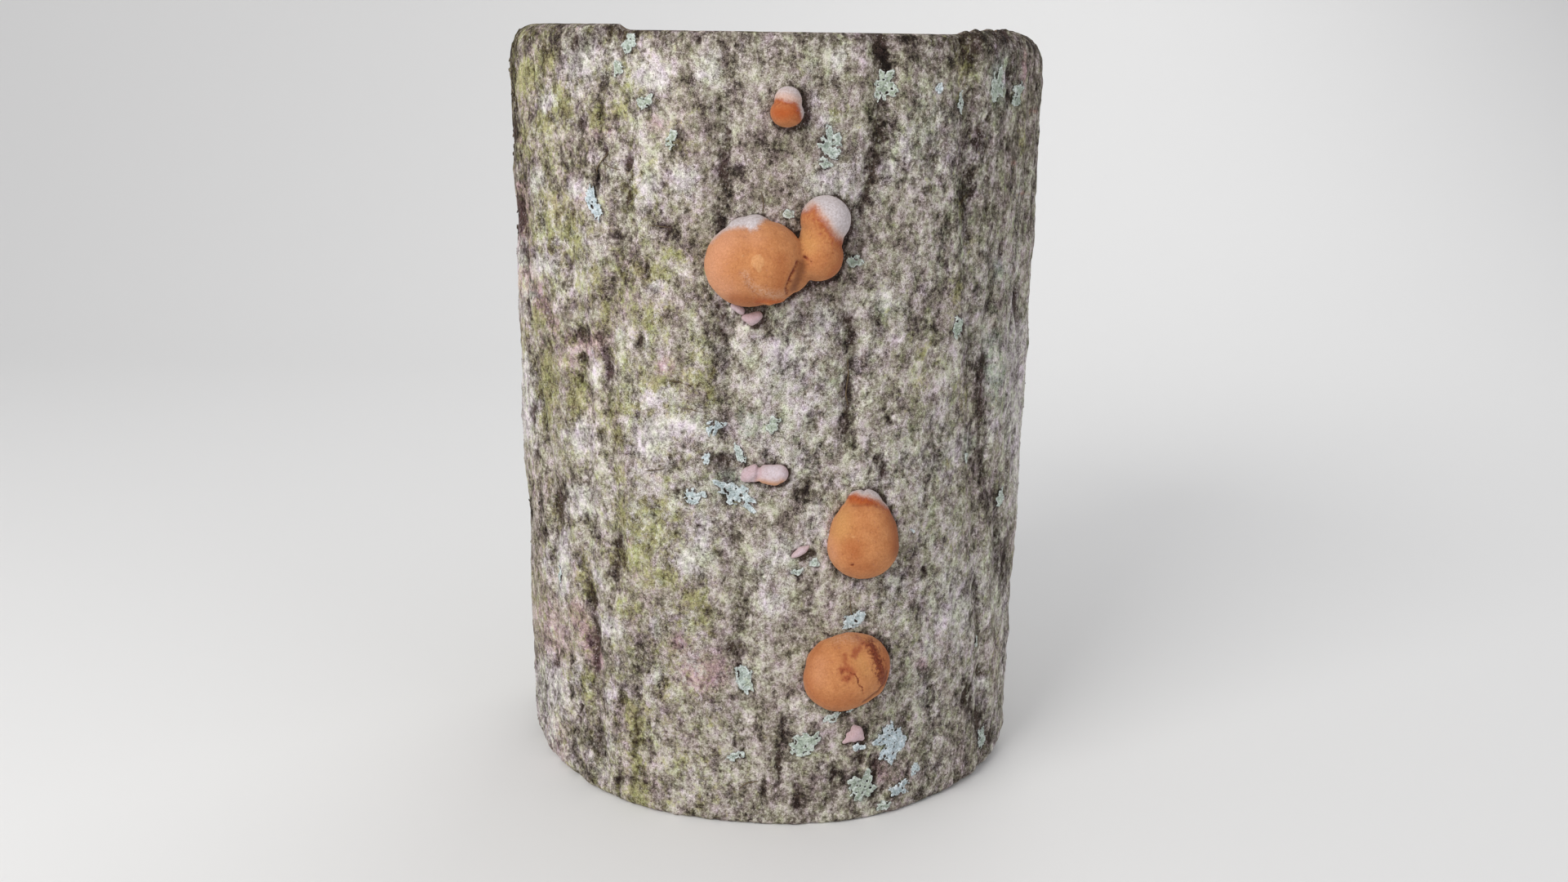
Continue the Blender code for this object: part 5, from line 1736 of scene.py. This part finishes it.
def lichen_shell(lichen, seed):
    """Points, faces and fields of one thin, closed, lobed rosette that follows the bark."""
    side, up, depth, lift, tip, kept = lichen_grid(lichen, seed)
    cells = kept[:-1, :-1] & kept[1:, :-1] & kept[1:, 1:] & kept[:-1, 1:]
    columns, rows = np.nonzero(cells)
    height_count = kept.shape[1]
    corner = columns * height_count + rows
    quads = np.stack((corner, corner + height_count, corner + height_count + 1, corner + 1), axis=1)
    used, local = np.unique(quads, return_inverse=True)
    quads = local.reshape(quads.shape)
    side, up, depth, lift, tip = (values.ravel()[used] for values in (side, up, depth, lift, tip))
    turn = lichen.turn + side / MM_PER_DEGREE
    height = np.clip((lichen.height + up) * MM, *LICHEN_HEIGHTS)
    _, _, relief = bark_surface(turn, height)
    smooth_relief, _ = furrow_relief(turn, height)
    ground = np.maximum(relief, smooth_relief - LICHEN_SAG)
    rounding = np.sqrt(np.clip(depth / ROUNDED_WITHIN, 0.0, 1.0))
    ripple = RIPPLES.size * noise_field(oval_points(turn, height, 0.0), RIPPLES)
    middle = ground + lift * MM + ripple
    top = oval_points(turn, height, middle + LICHEN_THICKNESS * rounding)
    below = UNDERSIDE_SHARE * LICHEN_THICKNESS * rounding
    bottom = oval_points(turn, height, middle - below - LICHEN_SINK)
    count = len(used)
    faces = [tuple(quad) for quad in quads.tolist()]
    faces += [tuple(corner + count for corner in reversed(quad)) for quad in quads.tolist()]
    edges = {}
    for quad in quads.tolist():
        for start, end in zip(quad, quad[1:] + quad[:1]):
            edges[(start, end)] = edges.get((start, end), 0) + 1
    for start, end in edges:
        if (end, start) not in edges:
            faces.append((end, start, start + count, end + count))
    points = np.concatenate((top, bottom))
    fields = {
        "tip": np.concatenate((tip, np.zeros(count))),
        # Dark undersides, and painted shade on the top near the edges
        "under": np.concatenate(((1 - rounding) * EDGE_SHADE, np.ones(count))),
    }
    return points, faces, fields


def make_lichen_piece(name, lichens, seed, material):
    """One piece made of one or more rosettes."""
    points, faces = [], []
    fields = {"tip": [], "under": [], "blue": []}
    start = 0
    for index, lichen in enumerate(lichens):
        shell_points, shell_faces, shell_fields = lichen_shell(lichen, seed + index)
        points.append(shell_points)
        faces += [tuple(corner + start for corner in face) for face in shell_faces]
        start += len(shell_points)
        for kind, values in shell_fields.items():
            fields[kind].append(values)
        fields["blue"].append(np.full(len(shell_points), lichen.blue))
    mesh = bpy.data.meshes.new(name)
    mesh.from_pydata(np.concatenate(points).tolist(), [], faces)
    mesh.validate()
    for kind, values in fields.items():
        add_field(mesh, kind, np.concatenate(values))
    bm = bmesh.new()
    bm.from_mesh(mesh)
    bmesh.ops.recalc_face_normals(bm, faces=bm.faces)
    bm.to_mesh(mesh)
    bm.free()
    mesh.shade_smooth()
    return add_object(name, mesh, material)


def tuft_lichens():
    """The small tufts: those of the photograph, and some more round the back."""
    lichens = [Lichen(*seen_place(tuft.x, tuft.y), *tuft[2:]) for tuft in TUFTS]
    rng = random.Random(BACK_TUFT_SEED)
    for _ in range(BACK_TUFTS):
        place = (rng.uniform(*BACK_TUFT_TURNS), rng.uniform(*BACK_TUFT_HEIGHTS))
        size = (rng.uniform(*BACK_TUFT_RADII), rng.uniform(*BACK_TUFT_STRETCHES))
        growth = (rng.uniform(0, 180), rng.randint(*BACK_TUFT_LOBES), rng.uniform(*BACK_TUFT_BLUES))
        lichens.append(Lichen(*place, *size, *growth))
    return lichens


def thread_points(thread):
    """Points along a thread, which lies a little above the bark."""
    places = [seen_place(x, y) for x, y in thread.path]
    turns = [place[0] for place in places]
    heights = [place[1] for place in places]
    knots = np.linspace(0, 1, len(places))
    shares = np.linspace(0, 1, THREAD_POINTS)
    turn = np.interp(shares, knots, turns)
    height = np.interp(shares, knots, heights) * MM
    _, _, relief = bark_surface(turn, height)
    arch = thread.lift * MM * np.sin(math.pi * np.clip(shares, *THREAD_ARCH_SHARES))
    return oval_points(turn, height, relief + thread.radius * THREAD_REST * MM + arch)


def make_threads(material):
    """Threads and twig ends as one piece of closed tubes with tapered ends."""
    bm = bmesh.new()
    for thread in THREADS:
        path = [Vector(point) for point in thread_points(thread)]
        rings = []
        for index, point in enumerate(path):
            before = path[max(index - 1, 0)]
            after = path[min(index + 1, len(path) - 1)]
            along = (after - before).normalized()
            aside = along.orthogonal().normalized()
            across = along.cross(aside)
            taper = THREAD_END + THREAD_SWELL * math.sin(math.pi * (index + 0.5) / len(path))
            ring = []
            for side in range(THREAD_SIDES):
                angle = 2 * math.pi * side / THREAD_SIDES
                offset = (aside * math.cos(angle) + across * math.sin(angle)) * thread.radius * MM * taper
                ring.append(bm.verts.new(point + offset))
            rings.append(ring)
        for ring, following in zip(rings, rings[1:]):
            shift = nearest_shift(ring, following)
            for side in range(THREAD_SIDES):
                near, far = side, (side + 1) % THREAD_SIDES
                moved, moved_far = (near + shift) % THREAD_SIDES, (far + shift) % THREAD_SIDES
                bm.faces.new((ring[near], ring[far], following[moved_far], following[moved]))
        bm.faces.new(list(reversed(rings[0])))
        bm.faces.new(rings[-1])
    bmesh.ops.recalc_face_normals(bm, faces=bm.faces)
    mesh = bpy.data.meshes.new("bark_threads")
    bm.to_mesh(mesh)
    bm.free()
    mesh.shade_smooth()
    return add_object("bark_threads", mesh, material)


def nearest_shift(ring, following):
    """How far the next ring's numbering is turned against this one's."""
    gaps = [(following[side].co - ring[0].co).length for side in range(THREAD_SIDES)]
    return gaps.index(min(gaps))


GEOMETRY = "NodeSocketGeometry"


def strew_tree(material):
    """Geometry Nodes that strew small irregular grains on a surface where a field says."""
    tree = bpy.data.node_groups.new("Strew grains", "GeometryNodeTree")
    tree.interface.new_socket("Surface", in_out="INPUT", socket_type=GEOMETRY)
    for label, kind in (
        ("Field", "NodeSocketString"), ("Density", FLOAT), ("Size", FLOAT), ("Stretch", FLOAT),
        ("Flatness", FLOAT), ("Detail", "NodeSocketInt"), ("Seed", "NodeSocketInt"),
    ):
        tree.interface.new_socket(label, in_out="INPUT", socket_type=kind)
    tree.interface.new_socket("Grains", in_out="OUTPUT", socket_type=GEOMETRY)
    given = tree.nodes.new("NodeGroupInput").outputs
    result = tree.nodes.new("NodeGroupOutput").inputs

    field = add_node(tree, "GeometryNodeInputNamedAttribute", {"Name": given["Field"]}, data_type="FLOAT")
    wanted = map_range(tree, field.outputs[0], *GRAIN_LEVELS, smooth=True)
    upright = add_node(tree, "GeometryNodeInputNormal").outputs[0]
    steep = add_node(tree, "ShaderNodeSeparateXYZ", {0: upright}).outputs[2]
    on_wall = math_node(tree, "LESS_THAN", math_node(tree, "ABSOLUTE", steep), STEEPEST)
    density = math_node(tree, "MULTIPLY", math_node(tree, "MULTIPLY", wanted, on_wall), given["Density"])
    strewn = add_node(
        tree, "GeometryNodeDistributePointsOnFaces",
        {"Mesh": given["Surface"], "Density": density, "Seed": given["Seed"]},
    )
    grain = add_node(tree, "GeometryNodeMeshIcoSphere", {"Radius": 1.0, "Subdivisions": given["Detail"]})
    lumps = add_node(tree, "ShaderNodeTexNoise", {"Scale": GRAIN_LUMP_SCALE, "Detail": 1.0}).outputs["Color"]
    away = add_node(tree, "ShaderNodeVectorMath", {0: lumps, 1: (0.5, 0.5, 0.5)}, operation="SUBTRACT")
    lumpy = add_node(
        tree, "ShaderNodeVectorMath", {0: away.outputs[0], "Scale": GRAIN_LUMPS}, operation="SCALE",
    )
    bumpy = add_node(
        tree, "GeometryNodeSetPosition", {"Geometry": grain.outputs["Mesh"], "Offset": lumpy.outputs[0]},
    )
    spin = add_node(
        tree, "FunctionNodeRandomValue", {0: (0.0, 0.0, 0.0), 1: GRAIN_TURNS}, data_type="FLOAT_VECTOR",
    )
    turned = add_node(
        tree, "FunctionNodeRotateRotation",
        {"Rotation": strewn.outputs["Rotation"], "Rotate By": spin.outputs[0]}, rotation_space="LOCAL",
    )
    least, most = GRAIN_SIZES
    size = add_node(tree, "FunctionNodeRandomValue", {2: least, 3: most}, data_type="FLOAT")
    grown = math_node(tree, "MULTIPLY", size.outputs[1], given["Size"])
    long = math_node(tree, "MULTIPLY", grown, given["Stretch"])
    thick = math_node(tree, "MULTIPLY", grown, given["Flatness"])
    scale = add_node(tree, "ShaderNodeCombineXYZ", {0: grown, 1: long, 2: thick})
    placed = add_node(
        tree, "GeometryNodeInstanceOnPoints",
        {
            "Points": strewn.outputs["Points"], "Instance": bumpy.outputs[0],
            "Rotation": turned.outputs[0], "Scale": scale.outputs[0],
        },
    )
    whole = add_node(tree, "GeometryNodeRealizeInstances", {"Geometry": placed.outputs[0]})
    finished = add_node(tree, "GeometryNodeSetMaterial", {"Geometry": whole.outputs[0], "Material": material})
    tree.links.new(finished.outputs[0], result["Grains"])
    return tree


def strew(surface, spec, material):
    """One piece of grains strewn on a surface."""
    tree = strew_tree(material)
    obj = add_object(spec.name, surface.data.copy())
    modifier = obj.modifiers.new("strew", "NODES")
    modifier.node_group = tree
    values = {name.capitalize(): value for name, value in spec._asdict().items()}
    values["Seed"] = STREW_SEED
    for item in tree.interface.items_tree:
        if item.in_out == "INPUT" and item.name in values:
            modifier[item.identifier] = values[item.name]
    mesh = plain_copy(obj, spec.name)
    mesh.shade_smooth()
    return add_object(spec.name, mesh)


def make_camera():
    """The photograph's camera."""
    data = bpy.data.cameras.new("camera")
    data.lens = CAMERA_LENS
    data.sensor_width = CAMERA_SENSOR
    camera = bpy.data.objects.new("camera", data)
    camera.matrix_world = camera_matrix()
    bpy.context.scene.collection.objects.link(camera)
    bpy.context.scene.camera = camera


def add_area_light(light):
    """A soft square light that looks at the middle of the trunk."""
    data = bpy.data.lights.new(light.name, "AREA")
    data.size = light.size
    data.energy = light.power
    data.color = light.color
    lamp = bpy.data.objects.new(light.name, data)
    lamp.location = light.place
    lamp.rotation_euler = (Vector(LIGHTS_AIM) - Vector(light.place)).to_track_quat("-Z", "Y").to_euler()
    bpy.context.scene.collection.objects.link(lamp)


def make_floor():
    """Pale floor that curves up behind."""
    bend_start = FLOOR_BACK - FLOOR_BEND
    profile = [(FLOOR_FRONT, 0.0), (bend_start, 0.0)]
    for step in range(1, FLOOR_BEND_STEPS + 1):
        angle = math.pi / 2 * step / FLOOR_BEND_STEPS
        profile.append((bend_start + FLOOR_BEND * math.sin(angle), FLOOR_BEND * (1 - math.cos(angle))))
    profile.append((FLOOR_BACK, FLOOR_TOP))
    mesh = bpy.data.meshes.new("studio_sweep")
    points = [(x, y, z) for x in (-FLOOR_HALF_WIDTH, FLOOR_HALF_WIDTH) for y, z in profile]
    count = len(profile)
    faces = [(index, index + count, index + count + 1, index + 1) for index in range(count - 1)]
    mesh.from_pydata(points, [], faces)
    mesh.shade_smooth()
    add_object("studio_sweep", mesh, make_floor_material())


def make_studio():
    """The floor, soft lights and an even sky."""
    make_floor()
    for light in LIGHTS:
        add_area_light(light)
    world = bpy.data.worlds.new("sky")
    world.use_nodes = True
    background = world.node_tree.nodes["Background"]
    background.inputs["Color"].default_value = SKY_COLOR
    background.inputs["Strength"].default_value = SKY_STRENGTH
    scene = bpy.context.scene
    scene.world = world
    scene.view_settings.view_transform = "Standard"


def declare(piece, slot, *nodes):
    """A piece rides on the one body and stands for the solids it replaces, which it hides. Its slot is not
    used.
    """
    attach(piece, "root")
    for node in nodes:
        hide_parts(node)


def build():
    """Make every piece, the studio and the camera."""
    groups = {"grain": grain_group(), "crust": crust_group(), "tint": tint_group()}
    bark_material = make_bark_material(groups)
    flesh = make_flesh_material(
        "orange_velvet", groups, srgb(222, 158, 106), srgb(184, 114, 67), srgb(216, 150, 108),
    )
    pink = make_flesh_material(
        "pink_velvet", groups, srgb(226, 218, 229), srgb(216, 197, 206), srgb(208, 182, 186),
    )
    lichen_material = make_lichen_material(groups)
    log = make_bark(bark_material, make_wood_material(groups))
    declare(log, "bark", "log")
    for name, lobes in FUNGI.items():
        large = name.startswith("bracket")
        grown = lobes + TWIN_LIP if name == "bracket_twin" else lobes
        piece = make_fungus(name, grown, flesh if large else pink)
        declare(piece, "orange_flesh" if large else "pink_flesh", name)
    for index, lichen in enumerate(LICHENS, start=1):
        seed = ROSETTE_SEED + index
        piece = make_lichen_piece(f"lichen_rosette_{index}", [lichen], seed, lichen_material)
        declare(piece, "lichen", f"lichen_{index}")
    declare(make_lichen_piece("lichen_tufts", tuft_lichens(), TUFT_SEED, lichen_material), "lichen")
    declare(make_threads(make_thread_material(groups)), "bark")
    algae = make_algae_material(groups)
    strewn = (
        (Strewn("algae_grains", "algae_room", 160000.0, 0.42 * MM, 1.2, 0.6, 1), algae, "bark"),
        (Strewn("crust_grains", "crust_room", 160000.0, 0.5 * MM, 1.1, 0.5, 1), bark_material, "bark"),
        (Strewn("bark_flakes", "flake_room", 22000.0, 1.1 * MM, 1.6, 0.35, 1), bark_material, "bark"),
    )
    for spec, material, slot in strewn:
        declare(strew(log, spec, material), slot)
    make_studio()
    make_camera()


build()
